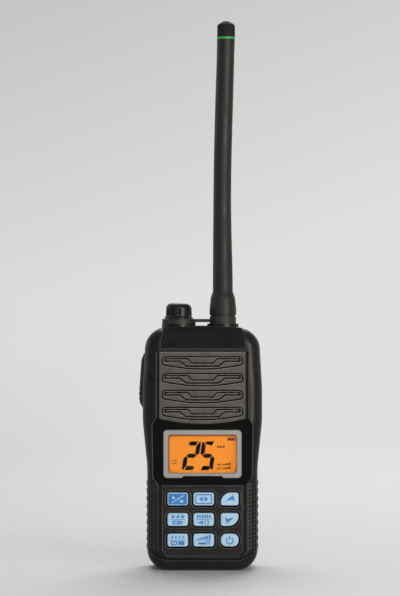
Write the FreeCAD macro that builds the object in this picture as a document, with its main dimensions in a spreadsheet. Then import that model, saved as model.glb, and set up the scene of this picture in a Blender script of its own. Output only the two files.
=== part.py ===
"""A hand-held marine VHF radio as an assembly of separate pieces, each written to parts/NAME.step.

Frame: +X to the right seen from the front, +Y to the back, +Z up, in millimetres.
The origin is the middle of the flat foot that the radio stands on, 19.5 mm behind its front face.
"""

import FreeCAD
import Part
import Sketcher

import math
import os

doc = FreeCAD.newDocument("marine_radio")


# ---------------------------------------------------------------- driving dimensions

DIMENSIONS = {
    # casing outline, seen from the front
    "body_top": 134.2,
    "grip_half": 30.3,
    "grip_top": 57.0,
    "chest_half": 32.8,
    "chest_low": 82.0,
    "chest_high": 100.0,
    "shoulder_half": 30.9,
    "shoulder_top": 132.6,
    "foot_round": 11.5,
    "shoulder_round": 12.0,
    "waist_round": 70.0,
    "crown_round": 150.0,
    # depths, front to back
    "front_face": -19.5,
    "seat_floor": -17.9,
    "wall_back": -16.1,
    "brow_back": -9.4,
    "board_face": -13.9,
    "part_plane": 8.0,
    "chassis_back": 10.5,
    "back_face": 21.5,
    "wall": 2.4,
    "floor_wall": 4.0,
    "floor_step": 1.8,
    "edge_round": 7.5,
    "brow_tilt": 29.0,
    "brow_strip": 1.8,
    "brow_round": 4.0,
    "chin_groove": 6.05,
    "chin_line": 0.5,
    "back_round": 3.4,
    # grille
    "grille_half": 23.5,
    "grille_top": 119.7,
    "grille_low": 83.2,
    "grille_tip": 78.3,
    "grille_round": 100.0,
    "louvre_half": 22.3,
    "louvre_top": 117.38,
    "louvre_pitch": 9.24,
    "louvre_end": 5.06,
    "louvre_line": 0.62,
    "louvre_gap": 0.8,
    "speaker_up": 100.5,
    "speaker_hole": 15.5,
    # display
    "surround_half": 27.4,
    "surround_low": 47.1,
    "surround_top": 84.2,
    "bezel_half": 21.4,
    "bezel_low": 50.9,
    "bezel_top": 77.2,
    "window_half": 18.7,
    "window_low": 53.6,
    "window_top": 74.5,
    "notch_half": 10.4,
    "notch_rise": 1.05,
    # keypad
    "plate_half": 22.2,
    "plate_low": 7.8,
    "plate_top": 46.9,
    "key_width": 11.1,
    "end_key_width": 9.6,
    "key_height": 7.0,
    "key_corner": 1.3,
    "key_front": -20.1,
    "key_gap": 0.25,
    "key_row": 17.0,
    "row_pitch": 11.24,
    "key_column": -13.52,
    "column_pitch": 14.2,
    # top fittings
    "top_depth": -1.8,
    "cap_across": -13.0,
    "antenna_across": 11.3,
    "boss_top": 135.2,
    "cap_boss": 9.4,
    "antenna_boss": 8.7,
    "cap_low": 137.8,
    "cap_top": 146.4,
    "cap_skirt": 7.9,
    "cap_crown": 6.85,
    "boot_low": 139.9,
    "boot_radius": 7.4,
    "whip_low_radius": 5.5,
    "whip_radius": 4.92,
    "band_low": 292.3,
    "band_high": 293.4,
    "antenna_top": 302.0,
    # push-to-talk button on the left side
    "ptt_low": 88.9,
    "ptt_top": 118.7,
    "ptt_depth": -3.0,
    "ptt_width": 12.0,
    "ptt_pivot_up": 115.3,
    "ptt_pivot_across": -29.9,
    # battery pack and belt clip
    "pack_low": 0.15,
    "pack_top": 102.8,
    "pack_front": 10.6,
    "pack_lid": 12.1,
    "latch_half": 9.0,
    "clip_half": 9.0,
    "clip_low": 13.0,
    "clip_top": 81.0,
    "clip_pin_up": 68.0,
    "clip_pin_depth": 25.4,
    "clip_pin_radius": 1.25,
}

# ---------------------------------------------------------------- places and sizes that pieces share

# (across, up) of the screw posts, and of the microphone
CASE_POSTS = [(-25.6, 11.6), (25.6, 11.6), (-26.6, 84.0), (26.6, 84.0)]
BOARD_POSTS = [(-18.8, 9.9), (18.8, 9.9), (-18.8, 48.8), (18.8, 48.8)]
CHASSIS_POSTS = [(-17.5, 13.5), (17.5, 13.5), (-17.5, 98.5), (17.5, 98.5)]
CLIP_SCREWS = [(-5.6, 74.4), (5.6, 74.4)]
MICROPHONE = (17.5, 87.8)
POST_RADIUS = 2.9
BOARD_POST_RADIUS = 1.5
SCREW_RADIUS = 1.2
SCREW_HEAD = 2.1

# top fittings
JACK_RADIUS = 6.2
SOCKET_RADIUS = 4.6
STUB_RADIUS = 4.6
CAP_FLUTES = 6
CORE_RADIUS = 2.2
PLUG_RADIUS = 2.9
WHIP_SECTIONS = [
    # height, sideways offset from the socket axis, share of the whip's radius
    (152.6, 0.0, 1.118),
    (172.0, -0.15, 1.08),
    (203.0, -0.32, 1.0),
    (236.0, 0.15, 1.0),
    (264.0, 0.95, 1.0),
]
TIP_OFFSET = 1.8

# keys and talk button
FLANGE = 0.7
KEY_TRAVEL = 0.7
PIN_RADIUS = 0.8

# back, battery pack and latch
FIN_GROOVES = 6
MAIN_BOARD_BACK = 2.2
CONTACTS = (-6.0, 0.0, 6.0)
CONTACT_UP = 22.0
CHARGE_PADS = (-9.0, 9.0)
LATCH_TRAVEL = 2.2
TONGUE_DROP = 7.4


sheet = doc.addObject("Spreadsheet::Sheet", "Dimensions")
for row, (alias, amount) in enumerate(DIMENSIONS.items(), start=1):
    sheet.set(f"A{row}", alias)
    sheet.set(f"B{row}", str(amount))
    sheet.setAlias(f"B{row}", alias)
doc.recompute()


class Size:
    """A length worked out from the sheet: its value now, and the expression that keeps it true."""

    def __init__(self, value, text):
        self.value = value
        self.text = text

    def joined(self, other, sign, value):
        return Size(value, f"({self.text} {sign} {Size.of(other).text})")

    @staticmethod
    def of(amount):
        return amount if isinstance(amount, Size) else Size(float(amount), f"({amount:.9g})")

    def __add__(self, other):
        return self.joined(other, "+", self.value + Size.of(other).value)

    def __sub__(self, other):
        return self.joined(other, "-", self.value - Size.of(other).value)

    def __mul__(self, other):
        return self.joined(other, "*", self.value * Size.of(other).value)

    def __truediv__(self, other):
        return self.joined(other, "/", self.value / Size.of(other).value)

    def __radd__(self, other):
        return Size.of(other) + self

    def __rsub__(self, other):
        return Size.of(other) - self

    def __rmul__(self, other):
        return Size.of(other) * self

    def __neg__(self):
        return Size(-self.value, f"(-1 * {self.text})")


class Sheet:
    """Every cell of the sheet by its alias, as a Size."""

    def __getattr__(self, alias):
        return Size(float(getattr(sheet, alias)), f"Dimensions.{alias}")


dim = Sheet()


def bind(item, setting, amount):
    """Ties one setting of a document object to a length."""
    amount = Size.of(amount)
    item.setExpression(setting, amount.text)


# ---------------------------------------------------------------- drawing and feature helpers


def start_body(label):
    body = doc.addObject("PartDesign::Body", label)
    body.Label = label
    return body


def sketch_on(body, role, offset):
    """An empty sketch parallel to an origin plane. Front-view sketches look back from the front, so their
    local Z is -Y; for them offset is the Y at which they lie, and otherwise it is X or Z."""
    sketch = body.newObject("Sketcher::SketchObject", body.Label + "_sketch")
    plane = next(f for f in body.Origin.OriginFeatures if f.Role == role)
    sketch.AttachmentSupport = [(plane, "")]
    sketch.MapMode = "FlatFace"
    offset = Size.of(offset)
    bind(sketch, "AttachmentOffset.Base.z", -offset if role == "XZ_Plane" else offset)
    return sketch


def front_sketch(body, depth):
    return sketch_on(body, "XZ_Plane", depth)


def dimension(kind, place, amount):
    """One dimension of a sketch, with the length that it keeps to."""
    amount = Size.of(amount)
    return Sketcher.Constraint(kind, *place, amount.value), amount


def settle(sketch, rules):
    """Adds constraints in one go, and ties the dimensions among them to the sheet."""
    numbers = sketch.addConstraint([rule for rule, amount in rules])
    for number, (rule, amount) in zip(numbers, rules):
        if amount and "Dimensions." in amount.text:
            sketch.setExpression(f"Constraints[{number}]", amount.text)


def flat(point):
    return FreeCAD.Vector(Size.of(point[0]).value, Size.of(point[1]).value, 0)


def draw_outline(sketch, corners):
    """A closed outline, anticlockwise, through corners (x, y) or (x, y, radius of its round)."""
    count = len(corners)
    points = [flat(c) for c in corners]
    radii = [Size.of(c[2]) if len(c) > 2 else None for c in corners]
    begins, finishes, centres, lefts = [], [], [], []
    for i, (point, radius) in enumerate(zip(points, radii)):
        back = (points[i - 1] - point).normalize()
        ahead = (points[(i + 1) % count] - point).normalize()
        reach = radius.value / math.tan(back.getAngle(ahead) / 2) if radius else 0
        begins.append(point + back * reach)
        finishes.append(point + ahead * reach)
        lefts.append(ahead.cross(back).z > 0)
        middle = (back + ahead).normalize() if radius else back
        centres.append(point + middle * math.hypot(reach, radius.value if radius else 0))
    lines = [
        sketch.addGeometry(Part.LineSegment(finishes[i], begins[(i + 1) % count]))
        for i in range(count)
    ]
    up = FreeCAD.Vector(0, 0, 1)
    rules = []
    for i, radius in enumerate(radii):
        before, after = lines[i - 1], lines[i]
        if not radius:
            rules.append((Sketcher.Constraint("Coincident", before, 2, after, 1), None))
            held = after
        else:
            first, last = (begins[i], finishes[i]) if lefts[i] else (finishes[i], begins[i])
            turn = [math.atan2((p - centres[i]).y, (p - centres[i]).x) for p in (first, last)]
            circle = Part.Circle(centres[i], up, radius.value)
            arc = sketch.addGeometry(Part.ArcOfCircle(circle, turn[0], turn[1]))
            ends = (1, 2) if lefts[i] else (2, 1)
            held = sketch.addGeometry(Part.Point(points[i]), True)
            rules += [
                (Sketcher.Constraint("Tangent", before, 2, arc, ends[0]), None),
                (Sketcher.Constraint("Tangent", arc, ends[1], after, 1), None),
                (Sketcher.Constraint("PointOnObject", held, 1, before), None),
                (Sketcher.Constraint("PointOnObject", held, 1, after), None),
                dimension("Radius", (arc,), radius),
            ]
        rules.append(dimension("DistanceX", (held, 1), corners[i][0]))
        rules.append(dimension("DistanceY", (held, 1), corners[i][1]))
    settle(sketch, rules)
    return sketch


def draw_circle(sketch, across, up, radius):
    radius = Size.of(radius)
    centre = flat((across, up))
    ring = sketch.addGeometry(Part.Circle(centre, FreeCAD.Vector(0, 0, 1), radius.value))
    settle(
        sketch,
        [
            dimension("DistanceX", (ring, 3), across),
            dimension("DistanceY", (ring, 3), up),
            dimension("Radius", (ring,), radius),
        ],
    )
    return sketch


def rectangle(left, right, low, high, corner=None):
    """The four corners of an upright rectangle, each with the same round."""
    places = [(left, low), (right, low), (right, high), (left, high)]
    return [place + ((corner,) if corner else ()) for place in places]


def mirrored(right_half):
    """A symmetric outline from its right half, listed from the bottom to the top."""
    left_half = [
        (-Size.of(c[0]),) + tuple(c[1:]) for c in reversed(right_half) if Size.of(c[0]).value
    ]
    return right_half + left_half


def grown(amount):
    return amount.Shape.Volume if amount else 0.0


def feature(body, kind, profile, **settings):
    """One sketch-based feature; it has to change the body's volume, or its direction is wrong."""
    before = grown(body.Tip)
    made = body.newObject("PartDesign::" + kind, body.Label + "_" + kind.lower())
    made.Profile = profile
    made.Refine = False
    for name, setting in settings.items():
        if isinstance(setting, Size):
            bind(made, name, setting)
        else:
            setattr(made, name, setting)
    profile.Visibility = False
    doc.recompute()
    if abs(made.Shape.Volume - before) < 1e-6:
        raise ValueError(f"{made.Name} of {body.Label} changes nothing")
    return made


def pad(body, sketch, length, backwards=False, both_ways=False):
    return feature(
        body, "Pad", sketch, Length=Size.of(length), Reversed=backwards, Midplane=both_ways
    )


def pocket(body, sketch, depth, backwards=False, both_ways=False):
    return feature(
        body, "Pocket", sketch, Length=Size.of(depth), Reversed=backwards, Midplane=both_ways
    )


def plate(label, outlines, front, back):
    """A flat piece between two depths: the first outline is its edge, and the rest are holes."""
    body = start_body(label)
    sketch = front_sketch(body, back)
    for outline in outlines:
        draw_outline(sketch, outline)
    pad(body, sketch, Size.of(back) - front)
    return body


def edges_where(shape, test):
    """The names of a shape's edges whose sampled points all pass the test."""
    names = []
    for number, edge in enumerate(shape.Edges, start=1):
        first, last = edge.ParameterRange
        samples = [edge.valueAt(first + (last - first) * share) for share in (0, 0.3, 0.7, 1)]
        if all(test(p) for p in samples):
            names.append(f"Edge{number}")
    return names


def round_edges(body, test, radius, kind="Fillet"):
    names = edges_where(body.Tip.Shape, test)
    if not names:
        raise ValueError(f"no edge of {body.Label} passes the test")
    tip = body.Tip
    made = body.newObject("PartDesign::" + kind, body.Label + "_" + kind.lower())
    made.Base = (tip, names)
    bind(made, "Radius" if kind == "Fillet" else "Size", radius)
    doc.recompute()
    return made


def bevel_edges(body, test, size):
    return round_edges(body, test, size, "Chamfer")


def revolve(label, profile, across, depth, up, along_y=False):
    """A turned piece: profile lists (radius, height) corners, turned about its own Z and then placed.
    With along_y the piece's own Z points to the front."""
    body = start_body(label)
    sketch = draw_outline(sketch_on(body, "XZ_Plane", 0), profile)
    feature(body, "Revolution", sketch, ReferenceAxis=(sketch, ["V_Axis"]), Angle=360.0)
    place(body, across, depth, up, 90 if along_y else 0)
    return body


def place(item, across, depth, up, tilt=0):
    item.Placement = FreeCAD.Placement(
        FreeCAD.Vector(*(Size.of(a).value for a in (across, depth, up))),
        FreeCAD.Rotation(FreeCAD.Vector(1, 0, 0), tilt),
    )
    for axis, amount in zip("xyz", (across, depth, up)):
        bind(item, "Placement.Base." + axis, amount)


def box(label, across, depth, up):
    """A block between two X, two Y and two Z values."""
    made = doc.addObject("Part::Box", label)
    made.Label = label
    for side, (low, high) in zip(("Length", "Width", "Height"), (across, depth, up)):
        bind(made, side, Size.of(high) - low)
    place(made, across[0], depth[0], up[0])
    return made


def cylinder(label, radius, length, across, depth, up, tilt=0):
    """A round bar that starts at a point and runs up, or to the front at a tilt of 90."""
    made = doc.addObject("Part::Cylinder", label)
    made.Label = label
    bind(made, "Radius", radius)
    bind(made, "Height", length)
    place(made, across, depth, up, tilt)
    return made


def fuse(label, *pieces):
    made = doc.addObject("Part::MultiFuse", label)
    made.Label = label
    made.Shapes = list(pieces)
    return made


def cut(label, whole, *tools):
    made = doc.addObject("Part::Cut", label)
    made.Label = label
    made.Base = whole
    made.Tool = tools[0] if len(tools) == 1 else fuse(label + "_tools", *tools)
    return made


def group(label, *pieces):
    """Separate solids that share one node."""
    made = doc.addObject("Part::Compound", label)
    made.Label = label
    made.Links = list(pieces)
    return made


SUB_PARTS = []


def keep(piece):
    """Marks a finished sub-part for export."""
    SUB_PARTS.append(piece)
    return piece


# ---------------------------------------------------------------- outlines shared by several pieces


def casing_outline(inset=0.0):
    """The casing seen from the front, from its flat foot to its domed top."""
    half = [
        (dim.grip_half - inset, Size.of(inset), dim.foot_round - inset),
        (dim.grip_half - inset, dim.grip_top, dim.waist_round),
        (dim.chest_half - inset, dim.chest_low, dim.waist_round),
        (dim.chest_half - inset, dim.chest_high, dim.crown_round),
        (dim.shoulder_half - inset, dim.shoulder_top - inset, dim.shoulder_round - inset),
        (0, dim.body_top - inset, dim.crown_round),
    ]
    return mirrored(half)


def room_outline(wall):
    """The casing's room below the brow: the casing's own outline, a wall's thickness inside it."""
    top = dim.grille_top - 1.3
    lean = (dim.chest_half - dim.shoulder_half) * (top - dim.chest_high).value
    half = [
        (dim.grip_half - wall, wall, dim.foot_round - wall),
        (dim.grip_half - wall, dim.grip_top, dim.waist_round),
        (dim.chest_half - wall, dim.chest_low, dim.waist_round),
        (dim.chest_half - wall, dim.chest_high, dim.crown_round),
        (dim.chest_half - wall - lean / (dim.shoulder_top - dim.chest_high), top, 4.0),
    ]
    return mirrored(half)


def pack_outline(inset=0.0):
    """The battery pack seen from the front: the casing's lower part, with a square top."""
    half = [
        (dim.grip_half - inset, dim.pack_low + inset, dim.foot_round - inset),
        (dim.grip_half - inset, dim.grip_top, dim.waist_round),
        (dim.chest_half - inset, dim.chest_low, dim.waist_round),
        (dim.chest_half - inset, dim.pack_top - inset, Size.of(2.0)),
    ]
    return mirrored(half)


def grille_outline():
    """The grille panel: square at the top, and bowed down to a shallow arc at the bottom."""
    half = [
        (0, dim.grille_tip, dim.grille_round),
        (dim.grille_half, dim.grille_low),
        (dim.grille_half, dim.grille_top),
    ]
    return mirrored(half)


def recess_outline():
    """The recess in the front: narrow round the keypad, widest at the display, and square at the top."""
    half = [
        (dim.plate_half - 1.9, dim.plate_low - 0.4, 1.5),
        (dim.plate_half + 1.9, dim.plate_low + 3.4, 1.5),
        (dim.plate_half + 1.9, dim.plate_top + 0.4, 1.0),
        (dim.surround_half - 0.5, dim.surround_low + 4.0, 3.0),
        (dim.surround_half, dim.surround_top - 3.9, 1.5),
        (dim.grille_half + 1.6, dim.surround_top, 1.5),
        (dim.grille_half + 1.6, dim.grille_top + 0.1),
    ]
    return mirrored(half)


def surround_outline():
    """The gloss panel round the display: broad shoulders, and a top edge that meets the grille's arc."""
    half = [
        (dim.plate_half + 1.6, dim.surround_low, 0.8),
        (dim.surround_half - 0.6, dim.surround_low + 4.0, 3.0),
        (dim.surround_half - 0.1, dim.surround_top - 3.9, 1.5),
        (dim.grille_half + 1.5, dim.surround_top - 0.1, 1.2),
        (dim.grille_half, dim.grille_low - 0.1),
        (0, dim.grille_tip - 0.1, dim.grille_round),
    ]
    return mirrored(half)


def plate_outline():
    """The keypad plate: square at the top, with bevelled lower corners."""
    half = [
        (dim.plate_half - 2.4, dim.plate_low, 1.5),
        (dim.plate_half, dim.plate_low + 3.6, 1.5),
        (dim.plate_half, dim.plate_top, 0.6),
    ]
    return mirrored(half)


def bezel_outline():
    """The bezel's outer edge, with the shallow step in the middle of its lower side."""
    half = [
        (dim.notch_half, dim.bezel_low + dim.notch_rise),
        (dim.notch_half + 0.9, dim.bezel_low),
        (dim.bezel_half, dim.bezel_low, 2.1),
        (dim.bezel_half, dim.bezel_top, 2.1),
    ]
    return mirrored(half)


def window_outline():
    half = dim.window_half
    return rectangle(-half, half, dim.window_low, dim.window_top, 1.4)


KEYS = {
    "key_priority": (0, 2),
    "key_channel": (1, 2),
    "key_up": (2, 2),
    "key_favourite": (0, 1),
    "key_monitor": (1, 1),
    "key_down": (2, 1),
    "key_scan": (0, 0),
    "key_output_level": (1, 0),
    "key_power": (2, 0),
}


def key_outline(name, spare=0.0):
    """One key seen from the front, larger all round by spare."""
    column, row = KEYS[name]
    middle = dim.key_column + dim.column_pitch * column
    width = dim.end_key_width if column == 2 else dim.key_width
    left, right = middle - width / 2 - spare, middle + width / 2 + spare
    up = dim.key_row + dim.row_pitch * row
    low, high = up - dim.key_height / 2 - spare, up + dim.key_height / 2 + spare
    small = dim.key_corner + spare
    large = dim.key_height * 0.78 + spare
    barrel = dim.key_height * 0.44 + spare
    rounds = {
        "key_up": (small, small, small, large),
        "key_down": (small, large, small, small),
        "key_power": (barrel, barrel, barrel, barrel),
    }.get(name, (small, small, small, small))
    return [c + (r,) for c, r in zip(rectangle(left, right, low, high), rounds)]


# ---------------------------------------------------------------- casing

def make_front_housing():
    body = start_body("front_housing")
    front = dim.front_face.value
    sketch = draw_outline(front_sketch(body, dim.part_plane), casing_outline())
    pad(body, sketch, dim.part_plane - dim.front_face)
    round_edges(body, lambda p: abs(p.y - front) < 1e-4, dim.edge_round)

    # The brow slopes back from a narrow strip above the grille to the top, between the side rails.
    brow = front_sketch(body, dim.front_face)
    crease = dim.grille_top + dim.brow_strip
    bind(brow, "AttachmentOffset.Base.y", crease)
    brow.AttachmentOffset = FreeCAD.Placement(
        brow.AttachmentOffset.Base, FreeCAD.Rotation(FreeCAD.Vector(1, 0, 0), -dim.brow_tilt.value)
    )
    half = [
        (dim.grille_half - 0.1, Size.of(-0.3)),
        (dim.grille_half - 0.1, Size.of(5.3), 12.0),
        (Size.of(19.6), Size.of(21.3)),
    ]
    draw_outline(brow, mirrored(half))
    pocket(body, brow, 14.0, backwards=True)
    up = crease.value
    round_edges(body, lambda p: abs(p.y - front) < 1e-3 and abs(p.z - up) < 1e-2, dim.brow_round)

    # One recess takes the grille, the display surround and the keypad plate, with a dark gap at its sides.
    seat = draw_outline(front_sketch(body, dim.front_face - 1), recess_outline())
    pocket(body, seat, dim.seat_floor - dim.front_face + 1)

    # A fine groove parts the chin from the rails: level in the middle, and rising at both sides.
    groove_top = dim.chin_groove + dim.chin_line
    half = [
        (dim.plate_half - 2.6, dim.chin_groove),
        (dim.plate_half + 1.4, dim.chin_groove + 1.2),
        (dim.grip_half - 2.0, dim.chin_groove + 4.6),
        (dim.grip_half - 2.4, groove_top + 4.5),
        (dim.plate_half + 1.1, groove_top + 1.15),
        (dim.plate_half - 2.6, groove_top),
    ]
    rising = front_sketch(body, dim.front_face)
    draw_outline(rising, half)
    draw_outline(rising, [(-c[0], c[1]) for c in reversed(half)])
    pocket(body, rising, 2.3)
    level = front_sketch(body, dim.front_face)
    reach = dim.plate_half - 2.5
    draw_outline(level, rectangle(-reach, reach, dim.chin_groove, groove_top))
    pocket(body, level, 0.8)

    # The inside, open at the back: shallow behind the sloping brow, and deep below it, where its
    # floor is narrower so that the rounded front edge keeps its thickness.
    inside = draw_outline(front_sketch(body, dim.part_plane), casing_outline(dim.wall))
    pocket(body, inside, dim.part_plane - dim.brow_back, backwards=True)
    for wall, floor in ((dim.wall, dim.wall_back + dim.floor_step), (dim.floor_wall, dim.wall_back)):
        deep = draw_outline(front_sketch(body, dim.brow_back + 1), room_outline(wall))
        pocket(body, deep, dim.brow_back + 1 - floor, backwards=True)

    # Openings for the speaker, the display and the keys.
    through = dim.wall_back - dim.seat_floor + 1
    holes = front_sketch(body, dim.seat_floor - 0.5)
    draw_circle(holes, 0, dim.speaker_up, dim.speaker_hole)
    draw_outline(holes, rectangle(-20.6, 20.6, 51.6, 76.6, 0.8))
    draw_circle(holes, MICROPHONE[0], MICROPHONE[1], 0.6)
    pocket(body, holes, through)
    cut_key_openings(body, dim.seat_floor - 0.5, through)

    # Posts that carry the chassis screws and the control board.
    posts = front_sketch(body, dim.wall_back - 0.4)
    for across, up in CASE_POSTS:
        draw_circle(posts, across, up, POST_RADIUS)
    pad(body, posts, dim.part_plane - dim.wall_back + 0.4, backwards=True)
    short = front_sketch(body, dim.wall_back - 0.4)
    for across, up in BOARD_POSTS:
        draw_circle(short, across, up, BOARD_POST_RADIUS)
    pad(body, short, dim.board_face - dim.wall_back + 0.4, backwards=True)
    threads = front_sketch(body, dim.part_plane)
    for across, up in CASE_POSTS:
        draw_circle(threads, across, up, SCREW_RADIUS)
    pocket(body, threads, 9.0, backwards=True)

    # Round bosses on the top for the accessory jack and the antenna.
    for across, radius in ((dim.cap_across, dim.cap_boss), (dim.antenna_across, dim.antenna_boss)):
        boss = sketch_on(body, "XY_Plane", dim.boss_top)
        draw_circle(boss, across, dim.top_depth, radius)
        pad(body, boss, 4.6, backwards=True)
    bores = sketch_on(body, "XY_Plane", dim.boss_top + 1)
    draw_circle(bores, dim.cap_across, dim.top_depth, JACK_RADIUS)
    draw_circle(bores, dim.antenna_across, dim.top_depth, SOCKET_RADIUS)
    pocket(body, bores, 8.0)

    # A groove in the rear rim holds the seal.
    rim = front_sketch(body, dim.part_plane)
    draw_outline(rim, casing_outline(0.8))
    draw_outline(rim, casing_outline(1.6))
    pocket(body, rim, 0.8, backwards=True)

    # The slot for the push-to-talk button, in the left side, and the bearings of its pin.
    half_width = dim.ptt_width / 2 + 0.3
    slot = sketch_on(body, "YZ_Plane", -36)
    draw_outline(
        slot,
        rectangle(
            dim.ptt_depth - half_width,
            dim.ptt_depth + half_width,
            dim.ptt_low - 0.3,
            dim.ptt_top + 0.3,
            0.8,
        ),
    )
    pocket(body, slot, 9.0, backwards=True)
    ears = front_sketch(body, dim.ptt_depth + half_width + 2.4)
    draw_outline(ears, rectangle(-30.8, -27.2, 113.1, 119.5))
    pad(body, ears, dim.ptt_width + 0.6 + 4.8)
    gap = front_sketch(body, dim.ptt_depth + half_width)
    draw_outline(gap, rectangle(-31.5, -26.0, dim.ptt_low - 0.3, dim.ptt_top + 0.3))
    pocket(body, gap, dim.ptt_width + 0.6, backwards=True)
    bearing = front_sketch(body, dim.ptt_depth + half_width + 1.5)
    draw_circle(bearing, dim.ptt_pivot_across, dim.ptt_pivot_up, PIN_RADIUS)
    pocket(body, bearing, dim.ptt_width + 0.6 + 3.0, backwards=True)

    # A bar across a small recess on the right side takes the cord of a hand strap.
    block = sketch_on(body, "YZ_Plane", 26)
    draw_outline(block, rectangle(-6.5, 6.5, 99.5, 110.0))
    pad(body, block, 5.0)
    recess = sketch_on(body, "YZ_Plane", 36)
    draw_outline(recess, rectangle(-4.5, 4.5, 101.8, 107.8, 1.5))
    pocket(body, recess, 36 - 28.0)
    bar = sketch_on(body, "XY_Plane", 101.0)
    draw_circle(bar, 31.3, 0, 1.0)
    pad(body, bar, 7.6)
    return keep(body)


def make_rear_chassis():
    body = start_body("rear_chassis")
    sketch = draw_outline(front_sketch(body, dim.back_face), casing_outline())
    pad(body, sketch, dim.back_face - dim.part_plane)
    back = dim.back_face.value
    round_edges(body, lambda p: abs(p.y - back) < 1e-4, dim.back_round)

    # Only the hump above the battery pack keeps the full depth.
    low = dim.pack_top + 0.3
    bay = sketch_on(body, "YZ_Plane", 0)
    draw_outline(bay, rectangle(dim.chassis_back, dim.back_face + 1, -1, low))
    pocket(body, bay, 80, both_ways=True)
    room = [
        (dim.chest_half - 4.2, low + 2.4, 2.0),
        (dim.shoulder_half - 2.8, dim.shoulder_top - 2.8, dim.shoulder_round - 3),
        (0, dim.body_top - 2.8, dim.crown_round),
    ]
    hollow = draw_outline(front_sketch(body, dim.part_plane - 1), mirrored(room))
    pocket(body, hollow, dim.back_face - dim.part_plane + 1 - 2.4)

    # Cooling fins: grooves across the back of the hump.
    for number in range(FIN_GROOVES):
        fin = front_sketch(body, dim.back_face + 1)
        up = low + 6.0 + number * 3.4
        draw_outline(fin, rectangle(-19.0, 19.0, up, up + 1.5, 0.7))
        pocket(body, fin, 2.0, backwards=True)

    # The notch that the battery latch springs up into.
    notch = front_sketch(body, dim.back_face + 1)
    draw_outline(notch, rectangle(-4.5, 4.5, low - 1, low + 1.7))
    pocket(body, notch, 6.2, backwards=True)

    # Posts that carry the main board, screw holes and the battery contact holes.
    posts = front_sketch(body, dim.part_plane + 0.5)
    for across, up in CHASSIS_POSTS:
        draw_circle(posts, across, up, 2.2)
    pad(body, posts, dim.part_plane + 0.5 - MAIN_BOARD_BACK)
    threads = front_sketch(body, MAIN_BOARD_BACK)
    for across, up in CHASSIS_POSTS:
        draw_circle(threads, across, up, SCREW_RADIUS)
    pocket(body, threads, 5.0)
    holes = front_sketch(body, dim.part_plane - 1)
    for across, up in CASE_POSTS:
        draw_circle(holes, across, up, SCREW_RADIUS + 0.15)
    for across in CONTACTS:
        draw_circle(holes, across, CONTACT_UP, 1.4)
    pocket(body, holes, 5.0)
    sinks = front_sketch(body, dim.chassis_back)
    for across, up in CASE_POSTS:
        draw_circle(sinks, across, up, SCREW_HEAD + 0.15)
    pocket(body, sinks, 1.3, backwards=True)
    return keep(body)


def make_seal():
    body = start_body("housing_seal")
    sketch = front_sketch(body, dim.part_plane)
    draw_outline(sketch, casing_outline(0.8))
    draw_outline(sketch, casing_outline(1.6))
    pad(body, sketch, 0.8)
    return keep(body)


def screw(name, across, up, under_head, length, to_front=True):
    """A machine screw along Y: a low head, a shank and a cross recess."""
    way = 90 if to_front else -90
    sign = -1 if to_front else 1
    head = cylinder(name + "_head", SCREW_HEAD, 1.2, across, under_head - sign * 1.2, up, way)
    shank = cylinder(name + "_shank", SCREW_RADIUS, length, across, under_head, up, way)
    whole = fuse(name + "_whole", head, shank)
    outer = under_head - sign * 1.2
    low, high = (outer - 0.6, outer + 0.4) if to_front else (outer - 0.4, outer + 0.6)
    slots = [
        box(name + "_slot", (across - 1.3, across + 1.3), (low, high), (up - 0.25, up + 0.25)),
        box(name + "_cross", (across - 0.25, across + 0.25), (low, high), (up - 1.3, up + 1.3)),
    ]
    return cut(name, whole, *slots)


def make_case_screws():
    under_head = dim.chassis_back.value - 1.3
    screws = [
        screw(f"case_screw_{n}", across, up, under_head, 7.4)
        for n, (across, up) in enumerate(CASE_POSTS)
    ]
    board_front = MAIN_BOARD_BACK - 1.2
    screws += [
        screw(f"board_screw_{n}", across, up, board_front, 4.8, to_front=False)
        for n, (across, up) in enumerate(CHASSIS_POSTS)
    ]
    return keep(group("machine_screws", *screws))


# ---------------------------------------------------------------- grille and speaker


def bent_channel(top, from_end, height, drop, knee_out, knee_in):
    """One narrow gap of a louvre: level near the ends, stepping down to a level middle part.
    height and drop are its depths below the louvre's top at the ends and in the middle."""
    gap = dim.louvre_gap
    end = dim.louvre_half - from_end
    upper = [
        (end, top - height),
        (Size.of(knee_out), top - height),
        (Size.of(knee_in), top - drop),
    ]
    lower = [
        (Size.of(knee_in) + 0.12, top - drop - gap),
        (Size.of(knee_out) + 0.12, top - height - gap),
        (end, top - height - gap),
    ]
    right = lower + upper
    left = [(-c[0], c[1]) for c in reversed(right)]
    return right + left


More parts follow.
